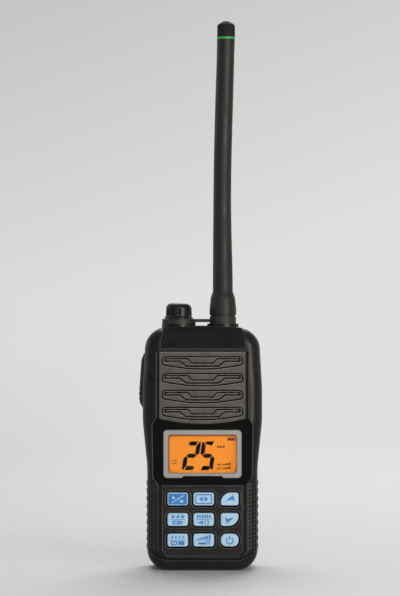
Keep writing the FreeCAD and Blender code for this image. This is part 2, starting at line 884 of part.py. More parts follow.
def make_grille():
    body = plate("grille_panel", [grille_outline()], dim.front_face + 0.1, dim.seat_floor)
    for number in range(4):
        top = dim.louvre_top - dim.louvre_pitch * number
        end = top - dim.louvre_end
        face = front_sketch(body, dim.front_face)
        for inset in (0.0, dim.louvre_line):
            half = [
                (0, end - 3.3 + inset, 95.0),
                (dim.louvre_half - inset, end + inset, dim.louvre_end / 2 - 0.5 - inset),
                (dim.louvre_half - inset, top - inset, dim.louvre_end / 2 - 0.5 - inset),
            ]
            draw_outline(face, mirrored(half))
        pocket(body, face, 0.9)
        channels = front_sketch(body, dim.front_face)
        draw_outline(channels, bent_channel(top, 1.5, 0.96, 3.4, 8.0, 5.9))
        draw_outline(channels, bent_channel(top, 1.5, 2.3, 5.0, 12.4, 8.8))
        pocket(body, channels, 1.2)
        links = front_sketch(body, dim.front_face)
        for side in (-1, 1):
            near, far = sorted((side * (dim.louvre_half - 2.2), side * (dim.louvre_half - 1.4)),
                               key=lambda place: place.value)
            draw_outline(links, rectangle(near, far, top - 3.1, top - 0.96, 0.35))
        pocket(body, links, 1.2)
        sound = front_sketch(body, dim.seat_floor)
        draw_outline(sound, rectangle(-8.4, 8.4, top - 5.3, top - 3.5, 0.6))
        for side in (-1, 1):
            inner, outer = sorted((side * 13.0, side * 19.5))
            draw_outline(sound, rectangle(inner, outer, top - 2.6, top - 1.0, 0.6))
        pocket(body, sound, 0.9, backwards=True)
    return keep(body)


def make_speaker():
    up = dim.speaker_up
    wall = dim.wall_back
    keep(cylinder("speaker_membrane", 17.0, 0.25, 0, wall + 0.25, up, 90))
    # Heights run towards the front from the back of the magnet yoke.
    keep(
        revolve(
            "speaker_frame",
            [(15.6, 4.2), (17.2, 4.2), (17.2, 5.2), (15.2, 5.2), (9.4, 1.0), (2.0, 1.0),
             (2.0, 0.0), (10.0, 0.0)],
            0, wall + 5.45, up, along_y=True,
        )
    )
    keep(
        revolve(
            "speaker_cone",
            [(14.5, 4.75), (14.5, 4.95), (13.6, 4.95), (5.0, 2.4), (2.5, 3.2), (0, 3.4),
             (0, 3.2), (2.4, 3.0), (5.1, 2.15), (13.7, 4.75)],
            0, wall + 5.45, up, along_y=True,
        )
    )
    keep(cylinder("speaker_magnet", 9.0, 5.0, 0, wall + 10.45, up, 90))
    keep(cylinder("microphone", 3.0, 2.6, MICROPHONE[0], wall + 2.6, MICROPHONE[1], 90))


# ---------------------------------------------------------------- display


def make_display():
    front = dim.front_face
    surround = plate("display_surround", [surround_outline()], front + 0.35, dim.seat_floor)
    opening = draw_outline(front_sketch(surround, front), bezel_outline())
    pocket(surround, opening, 3.0)
    keep(surround)

    bezel = plate("display_bezel", [bezel_outline(), window_outline()], front - 0.55, dim.seat_floor)
    face = front.value - 0.55
    bevel_edges(bezel, lambda p: abs(p.y - face) < 1e-4, 0.35)
    keep(bezel)

    keep(plate("display_window", [window_outline()], front + 0.15, front + 1.25))
    glass = rectangle(-20.4, 20.4, 51.8, 76.4, 0.7)
    keep(plate("lcd_panel", [glass], dim.seat_floor + 0.15, dim.wall_back))
    holder = rectangle(-22.4, 22.4, 50.6, 77.8, 1.0)
    room = rectangle(-19.6, 19.6, 52.4, 75.8, 0.6)
    keep(plate("lcd_holder", [holder, room], dim.wall_back, dim.board_face))
    light = rectangle(-19.5, 19.5, 52.5, 75.7, 0.6)
    keep(plate("backlight_panel", [light], dim.wall_back, dim.wall_back + 1.4))


# ---------------------------------------------------------------- keypad

def make_keypad_plate():
    body = plate("keypad_plate", [plate_outline()], dim.front_face + 0.15, dim.seat_floor)
    cut_key_openings(body, dim.front_face, 0.55, spare=1.0)
    cut_key_openings(body, dim.front_face, 3.0)
    return keep(body)


def cut_key_openings(body, front, depth, spare=None):
    """Cuts one opening for every key, from a given depth back; spare is its gap round the key."""
    for name in KEYS:
        opening = front_sketch(body, front)
        draw_outline(opening, key_outline(name, dim.key_gap if spare is None else spare))
        pocket(body, opening, depth)


def make_key(name):
    """One key: a domed cap on a shank, a flange behind the casing wall and a stub that works its dome."""
    body = start_body(name)
    flange_front = dim.wall_back + 0.1
    sketch = draw_outline(front_sketch(body, flange_front), key_outline(name))
    pad(body, sketch, flange_front - dim.key_front)
    face = dim.key_front.value
    round_edges(body, lambda p: abs(p.y - face) < 1e-4, 0.55)
    flange = draw_outline(front_sketch(body, flange_front + 0.6), key_outline(name, FLANGE))
    pad(body, flange, 0.6)
    column, row = KEYS[name]
    stub = front_sketch(body, dim.board_face - 0.45 - KEY_TRAVEL)
    across = dim.key_column + dim.column_pitch * column
    draw_circle(stub, across, dim.key_row + dim.row_pitch * row, 1.6)
    pad(body, stub, dim.board_face - 0.45 - KEY_TRAVEL - dim.wall_back - 0.6)
    return keep(body)


def make_keypad_inside():
    mat = start_body("keypad_mat")
    sketch = front_sketch(mat, dim.wall_back + 0.9)
    draw_outline(sketch, rectangle(-22.2, 22.2, 7.4, 46.6, 1.5))
    for across, up in BOARD_POSTS[:2]:
        draw_circle(sketch, across, up, BOARD_POST_RADIUS + 0.2)
    pad(mat, sketch, 0.9)
    cut_key_openings(mat, dim.wall_back - 0.5, 2.0, spare=FLANGE + 0.25)
    keep(mat)
    domes = []
    for name, (column, row) in KEYS.items():
        across = dim.key_column + dim.column_pitch * column
        up = dim.key_row + dim.row_pitch * row
        base = cylinder(name + "_dome_base", 2.6, 0.15, across, dim.board_face, up, 90)
        top = doc.addObject("Part::Cone", name + "_dome_top")
        bind(top, "Radius1", 2.3)
        bind(top, "Radius2", 1.4)
        bind(top, "Height", 0.3)
        place(top, across, dim.board_face - 0.15, up, 90)
        domes.append(fuse(name + "_dome", base, top))
    keep(group("key_domes", *domes))


# ---------------------------------------------------------------- boards


def make_boards():
    control = start_body("control_board")
    sketch = front_sketch(control, dim.board_face + 1.2)
    draw_outline(sketch, rectangle(-22.2, 22.2, 7.4, 80.4, 1.0))
    pad(control, sketch, 1.2)
    chips = front_sketch(control, dim.board_face + 2.6)
    draw_outline(chips, rectangle(-7.0, 7.0, 26.0, 40.0))
    draw_outline(chips, rectangle(8.0, 18.0, 58.0, 64.0))
    draw_outline(chips, rectangle(-18.0, -9.0, 60.0, 72.0))
    pad(control, chips, 1.6)
    keep(control)

    main = start_body("main_board")
    sketch = front_sketch(main, MAIN_BOARD_BACK)
    draw_outline(sketch, rectangle(-21.4, 21.4, 8.0, 117.6, 1.0))
    for across, up in CHASSIS_POSTS:
        draw_circle(sketch, across, up, SCREW_RADIUS + 0.1)
    pad(main, sketch, 1.2)
    parts = front_sketch(main, MAIN_BOARD_BACK - 1.0)
    draw_outline(parts, rectangle(-15.0, -3.0, 30.0, 44.0))
    draw_outline(parts, rectangle(2.0, 14.0, 56.0, 66.0))
    draw_outline(parts, rectangle(-12.0, 12.0, 74.0, 80.0))
    pad(main, parts, 1.8)
    keep(main)

    shield = start_body("rf_shield")
    sketch = front_sketch(shield, dim.part_plane - 0.6)
    draw_outline(sketch, rectangle(-15.0, 15.0, 30.0, 92.0, 1.0))
    pad(shield, sketch, dim.part_plane - 0.6 - MAIN_BOARD_BACK)
    inside = front_sketch(shield, MAIN_BOARD_BACK)
    draw_outline(inside, rectangle(-14.6, 14.6, 30.4, 91.6, 0.6))
    pocket(shield, inside, dim.part_plane - 0.6 - MAIN_BOARD_BACK - 0.4)
    keep(shield)

    depth = (dim.back_face - 10.4, dim.back_face - 2.4)
    keep(box("power_module", (-12.0, 12.0), depth, (107.5, 123.0)))


# ---------------------------------------------------------------- push-to-talk button


def make_ptt():
    body = start_body("ptt_button")
    sketch = front_sketch(body, dim.ptt_depth + dim.ptt_width / 2)
    outer = [
        (Size.of(-32.3), dim.ptt_top),
        (Size.of(-33.6), dim.ptt_top - 3.6, 2.5),
        (Size.of(-34.9), dim.ptt_low + 8.0, 20.0),
        (Size.of(-34.7), dim.ptt_low + 3.4, 1.5),
        (Size.of(-33.0), dim.ptt_low),
    ]
    inner = [
        (Size.of(-30.2), dim.ptt_low),
        (Size.of(-30.2), Size.of(95.0)),
        (Size.of(-28.95), Size.of(95.0)),
        (Size.of(-28.95), Size.of(98.0)),
        (Size.of(-30.2), Size.of(98.0)),
        (Size.of(-30.2), dim.ptt_pivot_up - 3.0),
        (dim.ptt_pivot_across + 1.7, dim.ptt_pivot_up - 2.0),
        (dim.ptt_pivot_across + 1.7, dim.ptt_pivot_up + 1.8),
        (Size.of(-30.6), dim.ptt_top),
    ]
    draw_outline(sketch, outer + inner)
    pad(body, sketch, dim.ptt_width)
    edges = (dim.ptt_depth - dim.ptt_width / 2).value, (dim.ptt_depth + dim.ptt_width / 2).value
    round_edges(
        body,
        lambda p: p.x < -32.0 and min(abs(p.y - e) for e in edges) < 1e-4,
        1.6,
    )
    # Grip ribs near the lower end, left standing between shallow cuts.
    for number in range(5):
        rib = front_sketch(body, dim.ptt_depth + dim.ptt_width / 2)
        up = dim.ptt_low + 3.0 + number * 2.7
        draw_outline(rib, [(-36.0, up), (-34.35, up + 0.5), (-34.35, up + 1.0), (-36.0, up + 1.5)])
        pocket(body, rib, dim.ptt_width, backwards=True)
    bore = front_sketch(body, dim.ptt_depth + dim.ptt_width)
    draw_circle(bore, dim.ptt_pivot_across, dim.ptt_pivot_up, PIN_RADIUS + 0.05)
    pocket(body, bore, 2 * dim.ptt_width, backwards=True)
    keep(body)

    reach = dim.ptt_width + 3.6
    start = dim.ptt_depth + reach / 2
    keep(
        cylinder("ptt_pin", PIN_RADIUS, reach, dim.ptt_pivot_across, start,
                 dim.ptt_pivot_up, 90)
    )
    case = box("ptt_switch_case", (-27.7, -24.6), (-6.0, 0.0), (93.5, 99.5))
    stem = box("ptt_switch_stem", (-28.0, -27.6), (-4.2, -1.8), (95.3, 97.7))
    board = box("ptt_switch_board", (-24.7, -23.7), (-8.0, 1.0), (90.5, 106.0))
    keep(fuse("ptt_switch", case, stem, board))


# ---------------------------------------------------------------- antenna

def make_antenna():
    across, depth = dim.antenna_across, dim.top_depth
    body = start_body("antenna_whip")
    boot = sketch_on(body, "XZ_Plane", depth)
    draw_outline(
        boot,
        [
            (across, dim.boot_low),
            (across + dim.boot_radius - 0.3, dim.boot_low),
            (across + dim.boot_radius, dim.boot_low + 0.3),
            (across + dim.boot_radius, dim.boot_low + 3.5, 30.0),
            (across + dim.boot_radius - 0.65, dim.boot_low + 9.4, 6.0),
            (across + dim.whip_low_radius - 0.1, dim.boot_low + 13.4, 5.0),
            (across + dim.whip_low_radius - 0.14, dim.boot_low + 16.0),
            (across, dim.boot_low + 16.0),
        ],
    )
    axis = boot.addGeometry(Part.LineSegment(flat((across, 0)), flat((across, 100))), True)
    rules = [dimension("DistanceX", (axis, end), across) for end in (1, 2)]
    rules += [dimension("DistanceY", (axis, end), height) for end, height in ((1, 0), (2, 100))]
    settle(boot, rules)
    feature(body, "Revolution", boot, ReferenceAxis=(boot, ["Axis0"]), Angle=360.0)

    profiles = []
    for height, offset, share in WHIP_SECTIONS + [(dim.band_low, TIP_OFFSET - 0.1, 1.0)]:
        ring = sketch_on(body, "XY_Plane", height)
        draw_circle(ring, across + offset, depth, dim.whip_radius * share)
        profiles.append(ring)
    loft = body.newObject("PartDesign::AdditiveLoft", "antenna_whip_loft")
    loft.Profile = profiles[0]
    loft.Sections = profiles[1:]
    doc.recompute()
    # The bore that the wound radiator fills.
    core = sketch_on(body, "XY_Plane", dim.boot_low)
    draw_circle(core, across, depth, CORE_RADIUS)
    pocket(body, core, 150.0, backwards=True)
    keep(body)

    keep(cylinder("antenna_core", CORE_RADIUS, 149.9, across, depth, dim.boot_low))
    tall = dim.band_high - dim.band_low
    tip_across = across + TIP_OFFSET
    keep(cylinder("antenna_band", dim.whip_radius + 0.06, tall, tip_across, depth, dim.band_low))
    tip = start_body("antenna_tip")
    ring = draw_circle(sketch_on(tip, "XY_Plane", dim.band_high), tip_across, depth, dim.whip_radius)
    pad(tip, ring, dim.antenna_top - dim.band_high)
    top = dim.antenna_top.value
    round_edges(tip, lambda p: abs(p.z - top) < 1e-4, 2.1)
    keep(tip)

    keep(cylinder("antenna_plug", PLUG_RADIUS, 8.4, across, depth, dim.boot_low - 8.4))
    washer = cylinder("antenna_washer", 6.85, 0.8, across, depth, dim.boot_low - 0.8)
    hole = cylinder("antenna_washer_hole", PLUG_RADIUS + 0.1, 3, across, depth, dim.boot_low - 2)
    keep(cut("antenna_seal", washer, hole))
    post = cylinder("socket_post", SOCKET_RADIUS, 10.2, across, depth, dim.boot_low - 11.1)
    nut = cylinder("socket_nut", SOCKET_RADIUS + 1.8, 1.8, across, depth, dim.boot_low - 11.1)
    bore = cylinder("socket_bore", PLUG_RADIUS + 0.05, 9.0, across, depth, dim.boot_low - 9.0)
    keep(cut("antenna_socket", fuse("socket_solid", post, nut), bore))


# ---------------------------------------------------------------- accessory jack, its cap and strap

def make_jack():
    across, depth = dim.cap_across, dim.top_depth
    low = dim.cap_low
    cap = revolve(
        "jack_cap",
        [
            (0, -5.4),
            (STUB_RADIUS, -5.4),
            (STUB_RADIUS, -1.5),
            (STUB_RADIUS - 0.7, -1.5),
            (STUB_RADIUS - 0.7, 0.5),
            (6.0, 0.5),
            (6.0, 0),
            (dim.cap_skirt - 0.2, 0),
            (dim.cap_skirt, 0.2),
            (dim.cap_skirt, 0.7),
            (dim.cap_crown + 0.4, 1.6),
            (dim.cap_crown, dim.cap_top - low, 2.8),
            (0, dim.cap_top - low),
        ],
        across, depth, low,
    )
    flute = sketch_on(cap, "XY_Plane", 5.8)
    draw_outline(flute, rectangle(-1.5, 1.5, -9.0, -6.15, 0.6))
    sunk = pocket(cap, flute, 3.9)
    around = cap.newObject("PartDesign::PolarPattern", "jack_cap_flutes")
    around.Originals = [sunk]
    around.Axis = (next(f for f in cap.Origin.OriginFeatures if f.Role == "Z_Axis"), [""])
    around.Angle = 360.0
    around.Occurrences = CAP_FLUTES
    cap.Tip = around
    doc.recompute()
    keep(cap)

    ring = doc.addObject("Part::Torus", "cap_seal")
    ring.Label = "cap_seal"
    bind(ring, "Radius1", STUB_RADIUS + 0.15)
    bind(ring, "Radius2", 0.6)
    place(ring, across, depth, low - 0.15)
    keep(ring)

    bush = cylinder("bush_wall", JACK_RADIUS, 8.2, across, depth, low - 9.0)
    bore = cylinder("bush_bore", STUB_RADIUS + 0.05, 7.0, across, depth, low - 7.0)
    contact = cylinder("bush_throat", 1.8, 4.0, across, depth, low - 10.0)
    keep(cut("jack_bush", bush, bore, contact))
    barrel = cylinder("jack_barrel", 3.2, 11.0, across, depth, low - 20.0)
    hole = cylinder("jack_hole", 1.75, 12.0, across, depth, low - 19.0)
    keep(cut("jack_socket", barrel, hole))

    # The rubber strap that ties the cap's ring to the antenna's foot.
    foot_low = dim.boss_top + 0.05
    foot = cylinder("strap_foot", 7.3, dim.boot_low - 0.85 - foot_low, dim.antenna_across,
                    depth, foot_low)
    loop = cylinder("strap_loop", 9.2, 2.45, across, depth, foot_low)
    strip = box("strap_strip", (across + 6, dim.antenna_across - 5), (depth - 2.5, depth + 2.5),
                (foot_low + 0.7, foot_low + 2.45))
    holes = [
        cylinder("strap_foot_hole", SOCKET_RADIUS + 0.02, 12, dim.antenna_across, depth, 130),
        cylinder("strap_loop_hole", JACK_RADIUS + 0.1, 12, across, depth, 130),
    ]
    keep(cut("cap_strap", fuse("strap_solid", foot, loop, strip), *holes))


# ---------------------------------------------------------------- battery pack

def make_battery():
    case = start_body("battery_case")
    sketch = draw_outline(front_sketch(case, dim.back_face), pack_outline())
    pad(case, sketch, dim.back_face - dim.pack_lid)
    back = dim.back_face.value
    round_edges(case, lambda p: abs(p.y - back) < 1e-4, dim.back_round)
    room = draw_outline(
        front_sketch(case, dim.pack_lid), rectangle(-26.5, 26.5, 6.0, 88.0, 6.0)
    )
    pocket(case, room, dim.back_face - dim.pack_lid - 1.6)
    # The well that the latch slides in, open at the top for its tongue.
    half = dim.latch_half + 0.15
    well = front_sketch(case, dim.back_face + 1)
    low = dim.pack_top - 12.3 - LATCH_TRAVEL
    draw_outline(well, rectangle(-half, half, low, dim.pack_top - 3.8, 0.8))
    pocket(case, well, 3.2, backwards=True)
    tunnel = front_sketch(case, dim.back_face - 1.2)
    tongue_low = dim.pack_top - TONGUE_DROP
    draw_outline(tunnel, rectangle(-4.15, 4.15, tongue_low - LATCH_TRAVEL - 0.3, dim.pack_top + 1))
    pocket(case, tunnel, 2.9, backwards=True)
    spring_room = front_sketch(case, dim.back_face - 1.2)
    draw_outline(spring_room, rectangle(-2.0, 2.0, tongue_low - 6.0, tongue_low))
    pocket(case, spring_room, 4.75, backwards=True)
    pads = front_sketch(case, dim.back_face + 1)
    for across in CHARGE_PADS:
        draw_outline(pads, rectangle(across - 2.1, across + 2.1, 5.0, 9.2))
    pocket(case, pads, 1.6, backwards=True)
    screw_holes = front_sketch(case, dim.back_face + 1)
    for across, up in CLIP_SCREWS:
        draw_circle(screw_holes, across, up, SCREW_RADIUS)
    pocket(case, screw_holes, 2.55, backwards=True)
    keep(case)

    lid = plate("battery_lid", [pack_outline(0.05)], dim.pack_front, dim.pack_lid)
    windows = front_sketch(lid, dim.pack_front)
    for across in CONTACTS:
        draw_outline(windows, rectangle(across - 1.8, across + 1.8, CONTACT_UP - 2, CONTACT_UP + 2))
    pocket(lid, windows, 0.8)
    keep(lid)

    cells = []
    for side in (-1, 1):
        left = min(side * 1.0, side * 25.0)
        cells.append(
            box(f"cell_{'left' if side < 0 else 'right'}", (left, left + 24.0),
                (dim.pack_lid + 0.3, dim.pack_lid + 7.5), (12.0, 84.0))
        )
    keep(group("battery_cells", *cells))
    keep(
        group(
            "pack_contacts",
            *[
                box(f"pack_contact_{n}", (across - 1.8, across + 1.8),
                    (dim.pack_front + 0.1, dim.pack_front + 0.8),
                    (CONTACT_UP - 2, CONTACT_UP + 2))
                for n, across in enumerate(CONTACTS)
            ],
        )
    )
    springs = []
    for n, across in enumerate(CONTACTS):
        pin = cylinder(f"contact_pin_{n}", 1.0, 8.0, across, dim.pack_front, CONTACT_UP, 90)
        foot = cylinder(f"contact_foot_{n}", 1.8, 0.8, across, MAIN_BOARD_BACK + 0.8, CONTACT_UP, 90)
        springs.append(fuse(f"contact_{n}", pin, foot))
    keep(group("contact_springs", *springs))
    keep(
        group(
            "charge_contacts",
            *[
                box(f"charge_pad_{n}", (across - 2.1, across + 2.1),
                    (dim.back_face - 0.6, dim.back_face - 0.15), (5.0, 9.2))
                for n, across in enumerate(CHARGE_PADS)
            ],
        )
    )

    latch = start_body("battery_latch")
    thumb = front_sketch(latch, dim.back_face + 0.5)
    draw_outline(
        thumb,
        rectangle(-dim.latch_half, dim.latch_half, dim.pack_top - 12.2, dim.pack_top - 3.9, 0.8),
    )
    pad(latch, thumb, 2.6)
    proud = (dim.back_face + 0.5).value
    round_edges(latch, lambda p: abs(p.y - proud) < 1e-4, 0.4)
    for number in range(4):
        rib = front_sketch(latch, dim.back_face + 1)
        up = dim.pack_top - 11.0 + 1.6 * number
        draw_outline(rib, rectangle(-7.0, 7.0, up, up + 0.8))
        pocket(latch, rib, 0.9, backwards=True)
    tongue = front_sketch(latch, dim.back_face - 1.3)
    tongue_low = dim.pack_top - TONGUE_DROP
    draw_outline(tongue, rectangle(-4.0, 4.0, tongue_low, dim.pack_top + 1.6))
    pad(latch, tongue, 2.6)
    keep(latch)
    keep(coil("latch_spring", 1.5, 0.3, 5.6, 6, (0, dim.back_face - 4.05, tongue_low - 5.8)))


def coil(label, radius, wire, length, turns, where, turned=None):
    """A coil spring as a swept wire; its sizes are read from the sheet here, once."""
    low = wire
    helix = Part.makeHelix((length - 2 * wire) / turns, length - 2 * wire, radius)
    start = helix.Vertexes[0].Point
    section = Part.Wire(Part.makeCircle(wire, start, FreeCAD.Vector(0, 1, 0)))
    spring = Part.Wire(helix).makePipeShell([section], True, True)
    made = doc.addObject("Part::Feature", label)
    made.Label = label
    made.Shape = spring
    base = FreeCAD.Vector(*(Size.of(a).value for a in where))
    turn = turned if turned else FreeCAD.Rotation()
    made.Placement = FreeCAD.Placement(base + turn.multVec(FreeCAD.Vector(0, 0, low)), turn)
    return made


# ---------------------------------------------------------------- belt clip


def make_belt_clip():
    up, depth, radius = dim.clip_pin_up, dim.clip_pin_depth, dim.clip_pin_radius
    back = dim.back_face

    # The bracket: a foot screwed to the pack, and two ears that carry the pin.
    bracket = start_body("clip_bracket")
    foot = front_sketch(bracket, back + 1.6)
    draw_outline(foot, rectangle(-8.6, 8.6, up - 4.5, up + 9.0, 1.5))
    pad(bracket, foot, 1.6)
    for side in (-1, 1):
        ear = sketch_on(bracket, "YZ_Plane", side * 5.6)
        draw_outline(
            ear,
            [
                (back + 0.8, up - 4.0),
                (depth + 1.0, up - 2.4, 2.0),
                (depth + 2.4, up, 1.5),
                (depth + 1.0, up + 2.4, 2.0),
                (back + 0.8, up + 4.0),
            ],
        )
        pad(bracket, ear, 1.6, both_ways=True)
    pin_hole = sketch_on(bracket, "YZ_Plane", 0)
    draw_circle(pin_hole, depth, up, radius)
    pocket(bracket, pin_hole, 20.0, both_ways=True)
    for across, height in CLIP_SCREWS:
        hole = front_sketch(bracket, back + 3)
        draw_circle(hole, across, height, SCREW_RADIUS + 0.15)
        pocket(bracket, hole, 4.0, backwards=True)
    keep(bracket)

    screws = [
        screw(f"clip_screw_{n}", across, height, back.value + 1.6, 3.0)
        for n, (across, height) in enumerate(CLIP_SCREWS)
    ]
    keep(group("clip_screws", *screws))

    # The lever: a long plate with a thumb pad above the pin and a curled lower end.
    lever = start_body("clip_lever")
    side = sketch_on(lever, "YZ_Plane", 0)
    draw_outline(
        side,
        [
            (back + 2.1, dim.clip_low + 4.6, 1.0),
            (back + 0.6, dim.clip_low + 2.6, 0.8),
            (back + 2.6, dim.clip_low, 0.8),
            (back + 6.0, dim.clip_low + 7.0, 6.0),
            (back + 8.3, up - 20.0, 60.0),
            (back + 8.3, up + 6.0, 12.0),
            (back + 6.6, dim.clip_top, 0.8),
            (back + 5.2, dim.clip_top - 0.4, 0.6),
            (back + 6.6, up + 5.0, 10.0),
            (back + 6.6, up - 20.0, 60.0),
            (back + 4.4, dim.clip_low + 9.0, 6.0),
        ],
    )
    pad(lever, side, 2 * dim.clip_half, both_ways=True)
    for hand in (-1, 1):
        ear = sketch_on(lever, "YZ_Plane", hand * 7.6)
        draw_outline(
            ear,
            [
                (depth - 1.9, up - 1.2, 1.1),
                (depth + 0.6, up - 5.0),
                (back + 7.0, up - 6.0),
                (back + 7.0, up + 6.0),
                (depth + 0.6, up + 5.0),
                (depth - 1.9, up + 1.2, 1.1),
            ],
        )
        pad(lever, ear, 1.6, both_ways=True)
    bore = sketch_on(lever, "YZ_Plane", 0)
    draw_circle(bore, depth, up, radius + 0.05)
    pocket(lever, bore, 20.0, both_ways=True)
    keep(lever)

    pin = cylinder("clip_pin", radius, 17.6, -8.8, depth, up)
    pin.Placement.Rotation = FreeCAD.Rotation(FreeCAD.Vector(0, 1, 0), 90)
    keep(pin)
    along_x = FreeCAD.Rotation(FreeCAD.Vector(0, 1, 0), 90)
    keep(coil("clip_spring", 1.8, 0.35, 8.0, 6, (-4.0, depth, up), along_x))


# ---------------------------------------------------------------- build and export


def broken(items):
    return [
        item.Label for item in items
        if any(word in state for state in item.State for word in ("Invalid", "Error"))
    ]


def export():
    doc.recompute()
    failed = broken(doc.Objects)
    if failed:
        raise ValueError(f"these objects failed: {failed}")
    os.makedirs("parts", exist_ok=True)
    for name in os.listdir("parts"):
        os.remove(os.path.join("parts", name))
    for piece in SUB_PARTS:
        shape = piece.Shape
        if shape.isNull() or not shape.isValid() or not shape.Solids:
            raise ValueError(f"{piece.Label} has no valid solid")
        shape.exportStep(os.path.join("parts", piece.Label + ".step"))
        print(f"{piece.Label}: {len(shape.Solids)} solid(s), {shape.Volume:.0f} mm3")
    print(f"{len(SUB_PARTS)} nodes")


make_front_housing()
make_rear_chassis()
make_seal()
make_case_screws()
make_grille()
make_speaker()
make_display()
make_keypad_plate()
for key_name in KEYS:
    make_key(key_name)
make_keypad_inside()
make_boards()
make_ptt()
make_antenna()
make_jack()
make_battery()
make_belt_clip()
export()
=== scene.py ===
# %% [markdown]
# # A hand-held marine radio, finished in Blender
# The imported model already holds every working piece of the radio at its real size: casing
# shells, grille, display, keys, boards, antenna, battery pack and belt clip. This lesson gives
# each of them its finish, models the details that are only for the eye and the hand, such as
# the grip pads, the key legends and the segments of the display, and sets up a plain studio.
#
# Everything is in metres, with +X to the right, +Y to the back and +Z up. A length given as
# `12 * MM` reads as twelve millimetres.

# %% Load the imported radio
import math

import bmesh
import bpy
from mathutils import Matrix, Vector


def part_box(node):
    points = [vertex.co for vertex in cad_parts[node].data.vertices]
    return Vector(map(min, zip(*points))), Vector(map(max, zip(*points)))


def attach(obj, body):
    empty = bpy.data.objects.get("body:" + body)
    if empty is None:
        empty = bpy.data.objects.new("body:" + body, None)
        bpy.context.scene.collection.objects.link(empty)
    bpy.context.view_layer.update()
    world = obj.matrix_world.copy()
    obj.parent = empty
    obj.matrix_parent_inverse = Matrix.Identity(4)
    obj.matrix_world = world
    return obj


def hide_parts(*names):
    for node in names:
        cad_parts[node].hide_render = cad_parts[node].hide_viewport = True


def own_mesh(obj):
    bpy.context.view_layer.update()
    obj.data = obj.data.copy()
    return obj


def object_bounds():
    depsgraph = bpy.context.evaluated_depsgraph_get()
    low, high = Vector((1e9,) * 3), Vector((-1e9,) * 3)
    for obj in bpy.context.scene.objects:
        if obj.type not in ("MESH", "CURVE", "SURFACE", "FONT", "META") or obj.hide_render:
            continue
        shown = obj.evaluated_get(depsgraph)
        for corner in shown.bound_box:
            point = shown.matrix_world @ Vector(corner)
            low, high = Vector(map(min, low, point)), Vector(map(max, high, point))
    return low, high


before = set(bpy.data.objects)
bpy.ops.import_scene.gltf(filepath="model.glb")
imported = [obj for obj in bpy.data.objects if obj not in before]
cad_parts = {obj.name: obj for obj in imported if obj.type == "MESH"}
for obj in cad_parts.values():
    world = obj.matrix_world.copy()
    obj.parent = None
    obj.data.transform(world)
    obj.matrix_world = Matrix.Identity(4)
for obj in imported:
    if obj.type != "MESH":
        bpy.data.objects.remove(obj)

CAD_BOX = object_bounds()
MM = 0.001
for corner, label in zip(CAD_BOX, ("lowest", "highest")):
    print(label, "corner in mm:", [round(value / MM, 2) for value in corner])

# %% [markdown]
# ## Colours
# Colours are easiest to judge as a screen shows them, on a scale of 0 to 255. Cycles works with
# linear light, so one small function converts them. Every finish below has screen values.


# %% Screen colours to linear ones
def screen(red, green, blue):
    """A colour as a screen shows it, 0 to 255, as the linear RGBA that a shader takes."""
    return tuple(
        value / 255 / 12.92 if value < 10.3 else ((value / 255 + 0.055) / 1.055) ** 2.4
        for value in (red, green, blue)
    ) + (1.0,)


def scaled(colour, factor, lift=0.0):
    """A linear colour made lighter or darker by a factor, and then lifted."""
    return tuple(min(1.0, c * factor + lift) for c in colour[:3]) + (1.0,)


print("mid grey, linear:", round(screen(128, 128, 128)[0], 3))

# %% [markdown]
# ## Shader nodes, in short
# A material is a tree of nodes, and so is the sky. The first class adds nodes to any tree and
# joins them. The second starts a material, whose patterns all use Object coordinates, so
# that they are fixed in real millimetres and stay with the piece when it moves. Every finish is
# kept in one table by its name.

# %% Helpers for shader nodes
WARM_TINT = (1.0, 0.95, 0.88, 1.0)
FINISHES = {}


class Nodes:
    """A node tree, and short ways to add nodes to it and join them."""

    def __init__(self, tree):
        self.tree = tree

    def node(self, kind, **settings):
        """Adds a node. Each setting is one of its inputs, or a property of its own."""
        made = self.tree.nodes.new(kind)
        for name, value in settings.items():
            if name in made.inputs:
                made.inputs[name].default_value = value
            else:
                setattr(made, name, value)
        return made

    def join(self, output, target):
        self.tree.links.new(output, target)

    def feed(self, value, target):
        """Gives an input a constant or another node's output."""
        if isinstance(value, (float, tuple)):
            target.default_value = value
        else:
            self.join(value, target)

    def vector(self, operation, *values):
        """The outcome of a Vector Math node: a number for LENGTH and DOT_PRODUCT."""
        made = self.node("ShaderNodeVectorMath", operation=operation)
        for value, target in zip(values, made.inputs):
            self.feed(value, target)
        return made.outputs["Value" if operation in ("LENGTH", "DOT_PRODUCT") else "Vector"]

    def larger(self, first, second):
        made = self.node("ShaderNodeMath", operation="MAXIMUM")
        self.join(first, made.inputs[0])
        self.join(second, made.inputs[1])
        return made.outputs[0]

    def part(self, vector, axis):
        """One of the X, Y and Z parts of a vector."""
        made = self.node("ShaderNodeSeparateXYZ")
        self.join(vector, made.inputs[0])
        return made.outputs[axis]

    def spread(self, fac, low, high, start=0.35, stop=0.65):
        """Maps the span from start to stop onto low to high, and holds it there beyond."""
        made = self.node("ShaderNodeMapRange", **{"From Min": start, "From Max": stop,
                                                  "To Min": low, "To Max": high})
        self.join(fac, made.inputs["Value"])
        return made.outputs["Result"]

    def mix(self, fac, first, second):
        """Mixes two colours; either may be a constant or another node's output."""
        made = self.node("ShaderNodeMix", data_type="RGBA")
        self.join(fac, made.inputs[0])
        self.feed(first, made.inputs[6])
        self.feed(second, made.inputs[7])
        return made.outputs[2]


